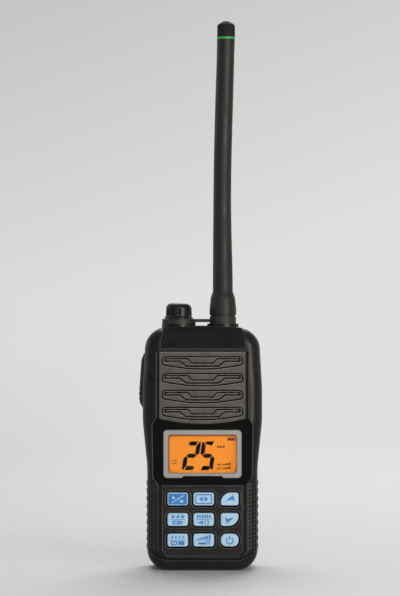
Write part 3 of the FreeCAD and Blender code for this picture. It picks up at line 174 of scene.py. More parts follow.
class Finish(Nodes):
    """A new material with its Principled shader, and the patterns that finishes share."""

    def __init__(self, name, colour, roughness, metallic=0.0, specular=0.5):
        self.material = bpy.data.materials.new(name)
        self.material.use_nodes = True
        FINISHES[name] = self.material
        super().__init__(self.material.node_tree)
        self.shader = self.tree.nodes["Principled BSDF"]
        self.put(colour, "Base Color")
        self.put(roughness, "Roughness")
        self.put(metallic, "Metallic")
        self.put(specular, "Specular IOR Level")
        self.put(WARM_TINT, "Specular Tint")
        self.place = self.node("ShaderNodeTexCoord").outputs["Object"]

    def put(self, value, name):
        """Gives one of the shader's inputs a constant or another node's output."""
        self.feed(value, self.shader.inputs[name])

    def shine(self, colour, strength):
        """Makes the surface glow in a colour, as well as have it."""
        self.put(colour, "Base Color")
        self.put(colour, "Emission Color")
        self.put(strength, "Emission Strength")

    def mapped(self, **settings):
        """The Object coordinates, moved, turned or scaled."""
        made = self.node("ShaderNodeMapping", **settings)
        self.join(self.place, made.inputs["Vector"])
        return made.outputs["Vector"]

    def noise(self, size, detail=2.0, stretch=(1, 1, 1)):
        """Noise with features about size metres across; stretch above 1 shortens them."""
        made = self.node("ShaderNodeTexNoise", Scale=1 / size, Detail=detail)
        self.join(self.mapped(Scale=stretch), made.inputs["Vector"])
        return made.outputs["Fac"]

    def bump(self, height, depth):
        """Lets a height pattern, depth metres deep, tilt the shading normal."""
        made = self.node("ShaderNodeBump", Distance=depth, Strength=1.0)
        self.join(height, made.inputs["Height"])
        self.put(made.outputs["Normal"], "Normal")

    def below_front(self, name, start, stop):
        """0 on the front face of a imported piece, and 1 where it is cut deeper than stop."""
        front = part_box(name)[0].y
        return self.spread(self.part(self.place, "Y"), 0.0, 1.0, front + start, front + stop)

    def rounded(self, width, samples):
        """The normal that the surface would have if its edges were rounded over width."""
        made = self.node("ShaderNodeBevel", samples=samples, Radius=width)
        return made.outputs["Normal"]

    def edge_tilt(self, width):
        """How far a rounded edge would face up (positive) or down (negative)."""
        return self.part(self.rounded(width, 6), "Z")

    def edge_mask(self, width, amount):
        """Amount along sharp edges and 0 on faces."""
        true = self.node("ShaderNodeNewGeometry").outputs["Normal"]
        alike = self.vector("DOT_PRODUCT", self.rounded(width, 4), true)
        return self.spread(alike, amount, 0.0, 0.80, 0.99)


# %% [markdown]
# ## One recipe for moulded and cast surfaces
# Most of the radio is moulded plastic or rubber. Close up, such a surface is never one flat
# colour: it has the spark-eroded grain of its mould, patches that are a little shinier where
# hands have polished it, and corners rubbed paler; the same paler edges are also a painted
# highlight where light would catch them. The recipe has three layers:
#
# 1. fine noise drives a Bump node, for the grain;
# 2. slow noise mixes two close colours and two roughness values, for the patches;
# 3. the Bevel node's normal is compared with the true one. They differ only near a sharp edge,
#    which makes a mask for rubbed edges and a painted edge highlight.
#
# An alternative for the wear is to paint vertex colours, but that ties the finish to one mesh.

# %% Recipes for mouldings and metals
# Heights over which the painted light from the floor fades out on the casing.
FLOOR_LIGHT_FADE = (5.2 * MM, 6.4 * MM)
LINES = 0.15 * MM


def moulded(name, colour, roughness, grain=0.45, depth=0.02, patch=0.12, wear_and_highlight=0.35, edge=0.3,
            specular=0.5, pale=0.03, floor_light=None):
    """Plastic or rubber. grain, depth and edge are in mm; the last colour, if given, paints the
    lowest 6 mm paler, as painted light from the floor.
    """
    finish = Finish(name, colour, roughness, specular=specular)
    patches = finish.noise(9 * MM, detail=4.0)
    body = finish.mix(finish.spread(patches, 0.0, 1.0), scaled(colour, 1 - patch),
                      scaled(colour, 1 + 2.5 * patch, 0.004 * patch))
    # Painted light: paler near the bottom, as if lit by the floor.
    if floor_light:
        height = finish.part(finish.place, "Z")
        body = finish.mix(finish.spread(height, 1.0, 0.0, *FLOOR_LIGHT_FADE), body, floor_light)
    if wear_and_highlight:
        # Paler along sharp edges, partly rubbed and partly a painted highlight.
        body = finish.mix(finish.edge_mask(edge * MM, wear_and_highlight), body, scaled(colour, 1.6, pale))
    finish.put(body, "Base Color")
    finish.put(finish.spread(patches, roughness * 0.88, min(1.0, roughness * 1.12)),
               "Roughness")
    finish.bump(finish.noise(grain * MM, detail=3.0), depth * MM)


def metal(name, colour, roughness, brushed):
    """Bare or plated metal, with fine lines along the axis whose stretch is smallest."""
    finish = Finish(name, colour, roughness, metallic=1.0)
    lines = finish.noise(LINES, detail=4.0, stretch=brushed)
    stains = finish.spread(finish.noise(4 * MM, detail=3.0), 0.0, 1.0)
    finish.put(finish.mix(stains, scaled(colour, 0.8), colour), "Base Color")
    finish.put(finish.spread(lines, roughness * 0.7, min(1.0, roughness * 1.3)), "Roughness")
    finish.bump(lines, 0.004 * MM)


print("finish recipes ready: moulded, metal")

# %% [markdown]
# ## The finish of every imported piece
# Each imported piece carries the name of the material slot that its designer gave it. The finishes
# cover the inside of the radio too, because somebody may take the back off. The casing is a
# glass-filled plastic with a fine grain. The panel round the display is the same black but
# polished, so it is smoother and has less grain; its depth of black comes from its reflections.

# %% Plastics and rubbers
# The casing: its lowest 6 mm painted paler, painted light from the floor, and its sharp edges
# paler, partly rubbed and partly a painted highlight.
moulded("housing_black", screen(10, 9, 8), 0.34, grain=0.5, depth=0.012, patch=0.25, wear_and_highlight=0.9,
        edge=0.45, specular=0.22, pale=0.055, floor_light=screen(35, 34, 32))
moulded("chassis_black", screen(19, 18, 16), 0.42, grain=0.6, depth=0.03, wear_and_highlight=0.8, edge=0.45,
        specular=0.35, pale=0.04)
moulded("pack_black", screen(21, 20, 18), 0.42, grain=0.55, depth=0.025, wear_and_highlight=0.8, edge=0.45,
        specular=0.35, pale=0.04)
moulded("rubber_black", screen(28, 27, 25), 0.58, grain=0.35, depth=0.012, wear_and_highlight=0.2,
        specular=0.42)
moulded("antenna_rubber", screen(18, 17, 15), 0.5, grain=0.3, depth=0.01, wear_and_highlight=0.1,
        patch=0.06, specular=0.34)
moulded("surround_gloss", screen(6, 6, 6), 0.18, grain=1.5, depth=0.002, wear_and_highlight=0.8, edge=0.35,
        specular=0.09)
moulded("holder_white", screen(225, 224, 218), 0.5, wear_and_highlight=0.0)
moulded("magnet_grey", screen(62, 62, 64), 0.6, grain=0.8, depth=0.05)
moulded("cell_blue", screen(40, 92, 150), 0.35, grain=1.2, depth=0.01, wear_and_highlight=0.1)
moulded("membrane", screen(58, 58, 58), 0.8, grain=0.2, depth=0.02, wear_and_highlight=0.0)
moulded("band_green", screen(20, 150, 62), 0.45, grain=0.5, depth=0.006, patch=0.05, wear_and_highlight=0.0)

# %% Metals
metal("steel_dark", screen(88, 88, 90), 0.38, brushed=(1, 1, 6))
metal("steel_bright", screen(196, 197, 198), 0.26, brushed=(1, 5, 1))
metal("tinned_can", screen(186, 187, 184), 0.36, brushed=(1, 1, 8))
metal("brass_plated", screen(201, 192, 168), 0.28, brushed=(1, 1, 8))
metal("contact_gold", screen(214, 178, 104), 0.24, brushed=(6, 1, 1))
print(len(FINISHES), "finishes so far")

# %% [markdown]
# ### Finishes with a pattern of their own
# Some finishes need more than the common recipe. The grille is satin grey, with a painted
# highlight along edges that would face up and painted shade along those that would face down,
# which makes its shallow louvres readable. Its narrow gaps are painted black inside, a painted
# shade that grows with the depth below its face; the keypad plate has the same painted shade in
# the dishes round its keys, and a painted highlight along its edges.
# The bezel is satin paint on plastic, a pale grey with fine metal flake in it. A circuit board
# shows copper tracks under green lacquer, which a Brick texture draws with its mortar. The cone
# of the speaker is pressed paper with fibres, and the wound radiator inside the antenna is
# enamelled wire, whose turns are a Wave texture along Z.


# %% Bezel, boards, paper and wound wire
def bezel_paint():
    finish = Finish("bezel_silver", screen(170, 166, 162), 0.42, metallic=0.35)
    flake = finish.noise(0.12 * MM)
    colour = finish.mix(finish.spread(flake, 0.0, 1.0), screen(142, 138, 133),
                        screen(160, 156, 151))
    worn = finish.edge_mask(0.25 * MM, 0.5)
    finish.put(finish.mix(worn, colour, screen(205, 202, 197)), "Base Color")
    finish.put(finish.spread(finish.noise(6 * MM, detail=3.0), 0.36, 0.5), "Roughness")
    finish.bump(flake, 0.003 * MM)


def board_lacquer():
    finish = Finish("board_green", screen(18, 84, 52), 0.3)
    tracks = finish.node("ShaderNodeTexBrick", **{"Scale": 1 / (4 * MM), "Mortar Size": 0.06})
    finish.join(finish.mapped(Rotation=(math.radians(90), 0, 0)), tracks.inputs["Vector"])
    lines = tracks.outputs["Fac"]
    finish.put(finish.mix(lines, screen(16, 80, 50), screen(34, 118, 70)), "Base Color")
    finish.bump(lines, 0.02 * MM)


def pressed_paper():
    finish = Finish("paper_cone", screen(52, 49, 46), 0.85)
    fibres = finish.noise(0.5 * MM, detail=6.0, stretch=(1, 4, 1))
    finish.put(finish.mix(finish.spread(fibres, 0.0, 1.0), screen(42, 40, 38),
                          screen(70, 66, 61)), "Base Color")
    finish.bump(fibres, 0.05 * MM)


def wound_wire():
    finish = Finish("helix_copper", screen(176, 98, 56), 0.32, metallic=1.0)
    wave = finish.node("ShaderNodeTexWave", wave_type="BANDS", bands_direction="Z",
                       Scale=1 / (3.2 * MM))
    finish.join(finish.place, wave.inputs["Vector"])
    turns = wave.outputs["Fac"]
    finish.put(finish.mix(turns, screen(120, 60, 32), screen(196, 116, 70)), "Base Color")
    finish.bump(turns, 0.3 * MM)


def grille_paint():
    """Satin grey outside, with painted highlights and shade along its edges, and painted black
    shade wherever the panel is cut deeper than a third of a mm.
    """
    finish = Finish("grille_grey", screen(88, 85, 82), 0.42, specular=0.4)
    specks = finish.noise(0.3 * MM, detail=3.0)
    slow = finish.noise(6 * MM, detail=3.0)
    colour = finish.mix(finish.spread(slow, 0.0, 1.0), screen(60, 57, 53), screen(74, 70, 66))
    colour = finish.mix(finish.spread(specks, 0.0, 0.35), colour, screen(96, 92, 87))
    # Painted highlight along edges that would face up, painted shade along those that would face
    # down.
    lit = finish.spread(finish.edge_tilt(0.45 * MM), 0.0, 0.9, 0.15, 0.6)
    colour = finish.mix(lit, colour, screen(176, 170, 162))
    shaded = finish.spread(finish.edge_tilt(0.8 * MM), 1.0, 0.0, -0.45, -0.08)
    colour = finish.mix(shaded, colour, screen(10, 9, 8))
    # Painted shade: black, and without reflection, where the panel is cut below its face.
    recess_shade = finish.below_front("grille_panel", 0.12 * MM, 0.35 * MM)
    finish.put(finish.mix(recess_shade, colour, screen(6, 6, 6)), "Base Color")
    finish.put(finish.spread(recess_shade, 0.4, 0.0, 0.0, 1.0), "Specular IOR Level")
    finish.put(finish.spread(slow, 0.36, 0.5), "Roughness")
    finish.bump(specks, 0.02 * MM)


def plate_paint():
    """Dark grey with a fine grain, a painted highlight along its edges, and painted black shade in
    the dishes round the keys.
    """
    finish = Finish("plate_grey", screen(31, 30, 28), 0.45, specular=0.25)
    slow = finish.noise(9 * MM, detail=4.0)
    colour = finish.mix(finish.spread(slow, 0.0, 1.0), screen(12, 11, 10), screen(18, 17, 15))
    # Painted highlight along the plate's sharp edges.
    colour = finish.mix(finish.edge_mask(0.3 * MM, 0.8), colour, screen(88, 86, 82))
    # Painted shade: black, and without reflection, in the dishes round the keys.
    recess_shade = finish.below_front("keypad_plate", 0.15 * MM, 0.4 * MM)
    finish.put(finish.mix(recess_shade, colour, screen(8, 8, 7)), "Base Color")
    finish.put(finish.spread(recess_shade, 0.25, 0.0, 0.0, 1.0), "Specular IOR Level")
    finish.put(finish.spread(slow, 0.4, 0.5), "Roughness")
    finish.bump(finish.noise(0.45 * MM, detail=3.0), 0.02 * MM)


for paint in (bezel_paint, grille_paint, plate_paint, board_lacquer, pressed_paper,
              wound_wire):
    paint()

# %% [markdown]
# ### Parts that light shines through
# The display is lit from behind. Its glow isn't even: it is a little deeper towards the corners,
# where the light guide ends, and the bezel shades its left and upper edges. The distance from
# the middle is the length of the squared coordinates, which follows a rounded rectangle. The
# keys are translucent silicone, made here with subsurface scattering and a faint glow of their
# own. The window is clear plastic with transmission.


# %% Display, window and keys
def lit_display():
    finish = Finish("lcd_orange", screen(240, 140, 44), 0.3)
    low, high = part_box("display_window")
    middle = (low + high) / 2
    half_width, half_height = (high.x - low.x) / 2, (high.z - low.z) / 2
    centred = finish.mapped(Location=(-middle.x / half_width, 0, -middle.z / half_height),
                            Scale=(1 / half_width, 0, 1 / half_height))
    outwards = finish.vector("LENGTH", finish.vector("MULTIPLY", centred, centred))
    grain = finish.spread(finish.noise(1.2 * MM, detail=3.0), 0.0, 1.0)
    glow = finish.mix(grain, screen(208, 118, 3), screen(212, 121, 4))
    glow = finish.mix(finish.spread(outwards, 0.0, 1.0, 0.96, 1.3), glow, screen(176, 84, 12))
    left = finish.spread(finish.part(finish.place, "X"), 1.0, 0.0,
                         low.x + 0.2 * MM, low.x + 1.1 * MM)
    top = finish.spread(finish.part(finish.place, "Z"), 0.0, 1.0,
                        high.z - 1.3 * MM, high.z - 0.3 * MM)
    finish.shine(finish.mix(finish.larger(left, top), glow, screen(120, 50, 6)), 0.4)


def clear_window():
    finish = Finish("window_clear", (1, 1, 1, 1), 0.03)
    finish.put(1.0, "Transmission Weight")
    finish.put(1.12, "IOR")
    finish.put(finish.spread(finish.noise(7 * MM, detail=4.0), 0.0, 0.05), "Roughness")


def key_rubber(name, colour):
    finish = Finish(name, colour, 0.42)
    patches = finish.spread(finish.noise(3 * MM, detail=3.0), 0.0, 1.0)
    finish.shine(finish.mix(patches, colour, scaled(colour, 1.08)), 0.12)
    finish.put(0.25, "Subsurface Weight")
    finish.put((0.5 * MM, 0.7 * MM, 1.0 * MM), "Subsurface Radius")
    finish.put(1.0, "Subsurface Scale")
    finish.bump(finish.noise(0.25 * MM), 0.006 * MM)


def light_guide():
    finish = Finish("light_guide", screen(250, 196, 120), 0.25)
    dots = finish.node("ShaderNodeTexVoronoi", Scale=1 / (0.8 * MM))
    finish.join(finish.place, dots.inputs["Vector"])
    finish.shine(finish.mix(dots.outputs["Distance"], screen(255, 214, 150),
                            screen(244, 170, 90)), 0.5)


lit_display()
clear_window()
light_guide()
key_rubber("key_light_blue", screen(163, 193, 211))
key_rubber("key_dark_blue", screen(158, 189, 209))
print(len(FINISHES), "finishes in all")

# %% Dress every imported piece
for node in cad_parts.values():
    for slot in node.material_slots:
        slot.material = FINISHES[slot.material.name.split(".")[0]]
print(len(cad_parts), "packed pieces dressed")

# %% [markdown]
# ## Modelling by hand, in code
# Every new piece is modelled with the operators that a hand would use: add a primitive, go into
# edit mode, select some faces by where they lie or face, then inset, extrude or bevel them. An
# operator works on whatever is selected, so the first helper clears the selection. Another
# bakes the place of a finished piece into its mesh, gives it its finish and hangs it on the body
# that it moves with. The last one copies a small piece to many places.


# %% Helpers for modelling
def deselect():
    if bpy.context.object and bpy.context.object.mode != "OBJECT":
        bpy.ops.object.mode_set(mode="OBJECT")
    bpy.ops.object.select_all(action="DESELECT")


def hold(pieces):
    """Selects pieces, and makes the first of them the active one."""
    deselect()
    for piece in pieces:
        piece.select_set(True)
    bpy.context.view_layer.objects.active = pieces[0]


def pick_faces(test):
    """In edit mode: selects the faces whose middle and normal pass the test."""
    bpy.ops.mesh.select_mode(type="FACE")
    mesh = bmesh.from_edit_mesh(bpy.context.object.data)
    for face in mesh.faces:
        face.select_set(test(face.calc_center_median(), face.normal))
    bmesh.update_edit_mesh(bpy.context.object.data)


def add_object(name, data):
    """A new object in the scene for a mesh, curve, lamp or camera."""
    made = bpy.data.objects.new(name, data)
    bpy.context.scene.collection.objects.link(made)
    return made


def finish_piece(piece, name, slot, body, smooth=35):
    hold([piece])
    bpy.ops.object.convert(target="MESH")
    bpy.ops.object.transform_apply(location=True, rotation=True, scale=True)
    bpy.ops.object.shade_smooth_by_angle(angle=math.radians(smooth))
    piece.name = name
    piece.data.materials.clear()
    piece.data.materials.append(FINISHES[slot])
    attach(piece, body)
    print(name, "has", len(piece.data.polygons), "faces")
    return piece


def stamp(master, places):
    """Copies a piece to every place, each copy with its own mesh, and joins the copies."""
    copies = []
    for place in places:
        copy = master.copy()
        copy.data = master.data.copy()
        copy.matrix_world = place
        bpy.context.scene.collection.objects.link(copy)
        copies.append(copy)
    bpy.data.objects.remove(master)
    hold(copies)
    bpy.ops.object.join()
    return bpy.context.object


# %% [markdown]
# ## Grip pads
# Both front rails carry a field of small raised pads beside the keys, so that a wet glove holds
# the radio. One pad is a block whose front is inset and pulled out, so its sides slope as a mould
# needs. It is copied in rows along the rail. The rail's front edge is a quarter circle, so the
# columns of pads are set out by arc length round it, each pad turned to stand square on the
# surface. Every second column is shifted by half a row and leans the other way, which gives the
# woven look. A displacement texture would be quicker, but it couldn't keep the pads crisp.

# %% Sizes of the rail and its pads
moulded("grip_black", screen(25, 24, 22), 0.36, grain=0.4, depth=0.01, wear_and_highlight=0.7, edge=0.25,
        specular=0.35)
RAIL_HALF = 30.3 * MM
RAIL_ROUND = 7.5 * MM
RAIL_FRONT = -19.5 * MM
PAD_PITCH = 2.16 * MM
PAD_COLUMNS = (2.2 * MM, 4.0 * MM, 5.9 * MM, 7.8 * MM)
PAD_LOW, PAD_HIGH = 12.2 * MM, 49.6 * MM
COLUMN_DROP = 0.66 * MM
PAD_LEAN = math.radians(24)


def on_rail(arc, up):
    """Where a point of the rail lies, arc metres round its edge, and which way it faces."""
    angle = arc / RAIL_ROUND
    across = RAIL_HALF - RAIL_ROUND + RAIL_ROUND * math.sin(angle)
    back = RAIL_FRONT + RAIL_ROUND * (1 - math.cos(angle))
    return Vector((across, back, up)), angle


# %% One pad
PAD_DEPTH = 0.5 * MM


def make_pad(width, rise, height, slope):
    """A block in the XZ plane whose front stands proud by rise and is smaller by slope."""
    deselect()
    bpy.ops.mesh.primitive_cube_add(size=1, location=(0, 0, 0))
    pad = bpy.context.object
    pad.scale = (width, PAD_DEPTH, height)
    pad.location = (0, PAD_DEPTH / 2, 0)
    bpy.ops.object.transform_apply(location=True, rotation=True, scale=True)
    bpy.ops.object.mode_set(mode="EDIT")
    pick_faces(lambda middle, normal: normal.y < -0.9)
    bpy.ops.mesh.extrude_region_move(TRANSFORM_OT_translate={"value": (0, -0.6 * rise, 0)})
    bpy.ops.mesh.inset(thickness=slope)
    bpy.ops.transform.translate(value=(0, -0.4 * rise, 0))
    pick_faces(lambda middle, normal: normal.y > 0.9)
    bpy.ops.mesh.delete(type="FACE")
    bpy.ops.object.mode_set(mode="OBJECT")
    return pad


# %% The two fields of pads
SIDES = ((1, "right"), (-1, "left"))


def make_grip(side, name):
    places = []
    for number, arc in enumerate(PAD_COLUMNS):
        lean = PAD_LEAN * (1 if number % 2 else -1) * side
        start = PAD_LOW + (PAD_PITCH / 2 if number % 2 else 0) - number * COLUMN_DROP
        for row in range(int((PAD_HIGH - start) / PAD_PITCH)):
            spot, angle = on_rail(arc, start + row * PAD_PITCH)
            spot.x *= side
            places.append(
                Matrix.Translation(spot)
                @ Matrix.Rotation(angle * side, 4, "Z")
                @ Matrix.Rotation(lean, 4, "Y")
            )
    pad = make_pad(width=1.35 * MM, rise=0.42 * MM, height=1.8 * MM, slope=0.28 * MM)
    finish_piece(stamp(pad, places), name, "grip_black", "radio")


for side, label in SIDES:
    make_grip(side, f"grip_pads_{label}")

# %% [markdown]
# The sides of the radio carry longer ribs, one for every second row of pads. From the front
# they show as a row of low bumps along the outline. Each is the same sloped block, made longer
# and turned to face sideways.

# %% Side ribs
RIB_LOW = PAD_LOW + 1.1 * MM
RIB_PITCH = 2 * PAD_PITCH
RIB_COUNT = int((PAD_HIGH - PAD_LOW) / RIB_PITCH) + 1
RIB_MIDDLE = -4.2 * MM


def make_ribs(side, name):
    places = [
        Matrix.Translation((side * RAIL_HALF, RIB_MIDDLE, RIB_LOW + row * RIB_PITCH))
        @ Matrix.Rotation(math.radians(90) * side, 4, "Z")
        for row in range(RIB_COUNT)
    ]
    rib = make_pad(width=17.0 * MM, rise=0.34 * MM, height=2.9 * MM, slope=0.7 * MM)
    finish_piece(stamp(rib, places), name, "housing_black", "radio")


for side, label in SIDES:
    make_ribs(side, f"side_ribs_{label}")

# %% [markdown]
# ## Printed shapes
# Legends on the keys and segments on the display are flat. The easiest way to a clean flat shape
# is a 2D curve: it fills itself between its outlines, leaves holes where one outline lies in
# another, and can be given a hair's thickness. It is turned upright, made a mesh, and set down
# on its surface.

# %% Helpers for flat shapes
INK = 0.02 * MM


def outline_curve(name, kind, outlines, closed=True):
    """A new object for a 2D or 3D curve of straight runs."""
    deselect()
    curve = bpy.data.curves.new(name, "CURVE")
    curve.dimensions = kind
    for outline in outlines:
        spline = curve.splines.new("POLY")
        spline.points.add(len(outline) - 1)
        for point, place in zip(spline.points, outline):
            point.co = (*place, 1)
        spline.use_cyclic_u = closed
    return add_object(name, curve), curve


def printed(name, outlines, front, slot, body):
    """Fills closed outlines of (x, z) points, in metres, on the plane y = front."""
    flat = [[(across, up, 0) for across, up in outline] for outline in outlines]
    piece, curve = outline_curve(name, "2D", flat)
    curve.fill_mode = "BOTH"
    curve.extrude = INK
    piece.location = (0, front, 0)
    piece.rotation_euler = (math.radians(90), 0, 0)
    finish_piece(piece, name, slot, body)


def arc_points(middle, radius, start, stop, steps=8):
    """Points of an arc, in degrees from +X."""
    angles = [math.radians(start + (stop - start) * i / steps) for i in range(steps + 1)]
    return [(middle[0] + radius * math.cos(angle), middle[1] + radius * math.sin(angle))
            for angle in angles]


def round_box(middle, half_width, half_height, rounds):
    """A box with rounded corners; rounds are the radii from the lower left, anticlockwise."""
    x, z = middle
    corners = [(-1, -1, 180), (1, -1, 270), (1, 1, 0), (-1, 1, 90)]
    points = []
    for (sx, sz, start), radius in zip(corners, rounds):
        centre = (x + sx * (half_width - radius), z + sz * (half_height - radius))
        points += arc_points(centre, radius, start, start + 90, 6)
    return points


def in_mm(points):
    """Points of two numbers in millimetres, as metres."""
    return [(x * MM, z * MM) for x, z in points]


def bar(x, z, width, height, corner=0.05):
    """A box with small round corners, given in millimetres, as metres."""
    half = (width / 2 * MM, height / 2 * MM)
    return round_box((x * MM, z * MM), *half, (corner * MM,) * 4)


def moved(points, across, up, lean=0.0):
    return [(x + across + z * lean, z + up) for x, z in points]


# %% [markdown]
# ## The display
# The lit panel shows a two-figure channel number in leaning seven-segment figures, a battery
# gauge, and two small level gauges. Each segment is a bar with pointed ends. The figures and
# gauges are dark, because a liquid crystal blocks the light behind it; the small marks beside
# them are fainter.

# %% Inks
for name, colour, roughness, specular in (("segment_black", (4, 3, 2), 0.4, 0.1),
                                          ("segment_faint", (92, 54, 24), 0.4, 0.5),
                                          ("legend_blue", (40, 114, 180), 0.45, 0.5)):
    moulded(name, screen(*colour), roughness, grain=0.2, depth=0.002, wear_and_highlight=0.0,
            specular=specular)

# %% Seven-segment figures
FIGURE_WIDTH = 5.9 * MM
FIGURE_HALF = 6.7 * MM
FIGURE_MIDDLE = 63.0 * MM
FIGURE_LEFT = -9.0 * MM
FIGURE_PITCH = 8.8 * MM
STROKE = 1.16 * MM
CORNER_GAP = 0.2 * MM
LEAN = math.tan(math.radians(9.2))
LCD_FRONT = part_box("lcd_panel")[0].y - 2 * INK
SEGMENTS_OF = {"2": "abged", "5": "afgcd"}


def segment(letter):
    """One segment round the middle of a figure, before it leans."""
    w, h, t, gap = FIGURE_WIDTH, FIGURE_HALF, STROKE, CORNER_GAP
    flat = [(gap, h), (t + gap, h + t), (w - t * 0.2 - gap, h + t), (w - t - gap, h - t),
            (t + gap, h - t)]
    level = [(gap, 0), (t * 1.3, t), (w - t * 1.3, t), (w - gap, 0), (w - t * 1.3, -t),
             (t * 1.3, -t)]
    upright = [(w, gap), (w + t, t + gap), (w + t, h + t * 0.3), (w + t * 0.5, h + t),
               (w - t, h - t - gap), (w - t, t + gap)]
    across, up, points = {
        "a": (1, 1, flat), "d": (-1, -1, flat), "g": (1, 1, level), "b": (1, 1, upright),
        "c": (1, -1, upright), "f": (-1, 1, upright), "e": (-1, -1, upright)}[letter]
    return [((w / 2 + (x - w / 2) * across), z * up) for x, z in points]


figures = []
for place, figure in enumerate("25"):
    start = FIGURE_LEFT + place * FIGURE_PITCH
    figures += [moved(segment(letter), start, FIGURE_MIDDLE, LEAN)
                for letter in SEGMENTS_OF[figure]]
printed("display_figures", figures, LCD_FRONT, "segment_black", "radio")

# %% Gauges and marks of the display
gauges = []
for up in (58.0, 55.8):
    for step in range(4):
        height = 0.35 + 0.28 * step
        gauges.append(bar(11.1 + step * 1.28, up + height / 2, 0.95, height))
gauges += [bar(14.4 + step * 1.15, 72.1, 0.95, 1.2) for step in range(3)]
gauges.append(bar(17.95, 72.1, 0.35, 0.8))
printed("display_gauges", gauges, LCD_FRONT, "segment_black", "radio")

marks = [bar(15.55, 72.1, 4.3, 1.9, 0.25), bar(15.55, 72.1, 3.9, 1.5, 0.15),
         bar(-15.5, 59.6, 2.9, 2.3, 0.25), bar(-15.95, 59.6, 1.4, 1.7, 0.1),
         bar(-14.5, 59.6, 0.6, 1.7, 0.1)]
marks += [in_mm([(7.4, up - 0.55), (9.6, up - 0.55), (9.6, up + 0.6)]) for up in (58.4, 56.2)]
marks += [bar(8.6 + step * 1.5, 67.9, 1.1, 1.15) for step in range(3)]
printed("display_marks", marks, LCD_FRONT, "segment_faint", "radio")

# %% [markdown]
# ## Key legends
# Every key wears a plain pictogram instead of a word: arrowheads, a power symbol, stars, a
# speaker, rising bars and so on, each printed in darker blue. They ride on their own keys, so
# they move in when a key is pressed. The first key is printed dark all over, and its signs are
# left light.

# %% Where a key's face is
KEY_FLANGE = 0.7 * MM
KEY_CORNER = 1.3 * MM


def key_face(name):
    """The middle of a key's face, half its width and height inside its flange, its depth."""
    low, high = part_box(name)
    middle = ((low.x + high.x) / 2, (low.z + high.z) / 2)
    return (middle, (high.x - low.x) / 2 - KEY_FLANGE, (high.z - low.z) / 2 - KEY_FLANGE,
            low.y)


def key_edge(name, spare):
    """The outline of a key, larger all round by spare."""
    middle, half_width, half_height, _ = key_face(name)
    small = KEY_CORNER + spare
    large = 1.56 * half_height + spare
    barrel = 0.88 * half_height + spare
    rounds = {"key_up": (small, small, small, large), "key_down": (small, large, small, small),
              "key_power": (barrel,) * 4}.get(name, (small,) * 4)
    return round_box(middle, half_width + spare, half_height + spare, rounds)


def legend(name, outlines):
    """Prints outlines, given in millimetres from the middle of the key's face, on a key."""
    middle, _, _, front = key_face(name)
    placed = [moved(in_mm(outline), *middle) for outline in outlines]
    printed(f"{name}_legend", placed, front - INK, "legend_blue", name)


def ring(middle, outer, inner, start=0, stop=360):
    """A ring, or part of one, in millimetres."""
    if stop - start == 360:
        return [arc_points(middle, radius, 0, 345, 23) for radius in (outer, inner)]
    return [arc_points(middle, outer, start, stop, 20)
            + arc_points(middle, inner, stop, start, 20)]


def block(x, z, width, height):
    half_width, half_height = width / 2, height / 2
    return [(x - half_width, z - half_height), (x + half_width, z - half_height),
            (x + half_width, z + half_height), (x - half_width, z + half_height)]


# %% Arrowheads and power
legend("key_up", [[(-2.2, -1.1), (1.9, 2.3), (2.9, -1.1), (1.3, -0.45)]])
legend("key_down", [[(2.2, 1.1), (-1.5, -2.2), (-2.7, 1.3), (-1.2, 0.45)]])
legend("key_power", ring((0.0, -0.3), 2.05, 1.45, 122, 418) + [block(0.0, 1.2, 0.62, 2.3)])

# %% First key: dark field, light signs
FIELD_SPARE = 0.5
_, field_width, field_height, _ = key_face("key_priority")
field = round_box((0, 0), field_width / MM - FIELD_SPARE, field_height / MM - FIELD_SPARE,
                  (0.9,) * 4)
slash = [(-3.7, -1.85), (-3.3, -2.2), (3.8, 1.85), (3.4, 2.2)]
triangle = [(-3.4, 0.1), (-1.3, 0.1), (-2.35, 2.0)]
legend("key_priority", [field, slash, triangle, block(2.2, -1.2, 1.9, 1.3)])

# %% [markdown]
# The other keys carry two signs each: most have one above the other, with a thin line between
# them, and the channel key has two arrowheads in a frame.

# %% Two-sign keys
DIVIDER = block(0, 0.0, 8.2, 0.3)


def star(x, z, radius):
    points = []
    for tip in range(10):
        reach = radius if tip % 2 == 0 else radius * 0.45
        angle = math.radians(90 + 36 * tip)
        points.append((x + reach * math.cos(angle), z + reach * math.sin(angle)))
    return points


legend("key_channel", [
    block(0, 0, 9.1, 5.3), block(0, 0, 7.9, 4.1),
    [(-2.7, 0), (-0.45, -1.45), (-0.45, 1.45)], [(2.7, 0), (0.45, 1.45), (0.45, -1.45)]])
legend("key_favourite", [
    DIVIDER, *[star(x, 1.6, 1.35) for x in (-2.5, 0.1, 2.7)],
    [(-2.9, -2.6), (1.8, -2.6), (3.2, -1.6), (1.8, -0.6), (-2.9, -0.6)],
    arc_points((1.6, -1.6), 0.4, 0, 345, 23), block(-1.2, -1.6, 2.2, 0.7)])
legend("key_monitor", [
    DIVIDER, *[block(-3.4 + 1.36 * i, 1.6, 0.85, 1.9) for i in range(6)],
    [(-3.0, -2.0), (-1.9, -2.0), (-0.3, -2.8), (-0.3, -0.4), (-1.9, -1.2), (-3.0, -1.2)],
    *ring((-0.6, -1.6), 1.75, 1.2, -42, 42), *ring((-0.6, -1.6), 2.85, 2.3, -36, 36),
    *ring((-0.6, -1.6), 3.95, 3.4, -28, 28)])
legend("key_scan", [
    DIVIDER, *[[(x, 0.5), (x + 1.6, 1.6), (x, 2.7), (x + 0.55, 1.6)]
               for x in (-3.7, -1.7, 0.3, 2.3)],
    block(-2.0, -1.6, 3.4, 2.1), block(-2.0, -1.6, 2.2, 0.9), block(2.0, -1.6, 3.4, 2.1)])
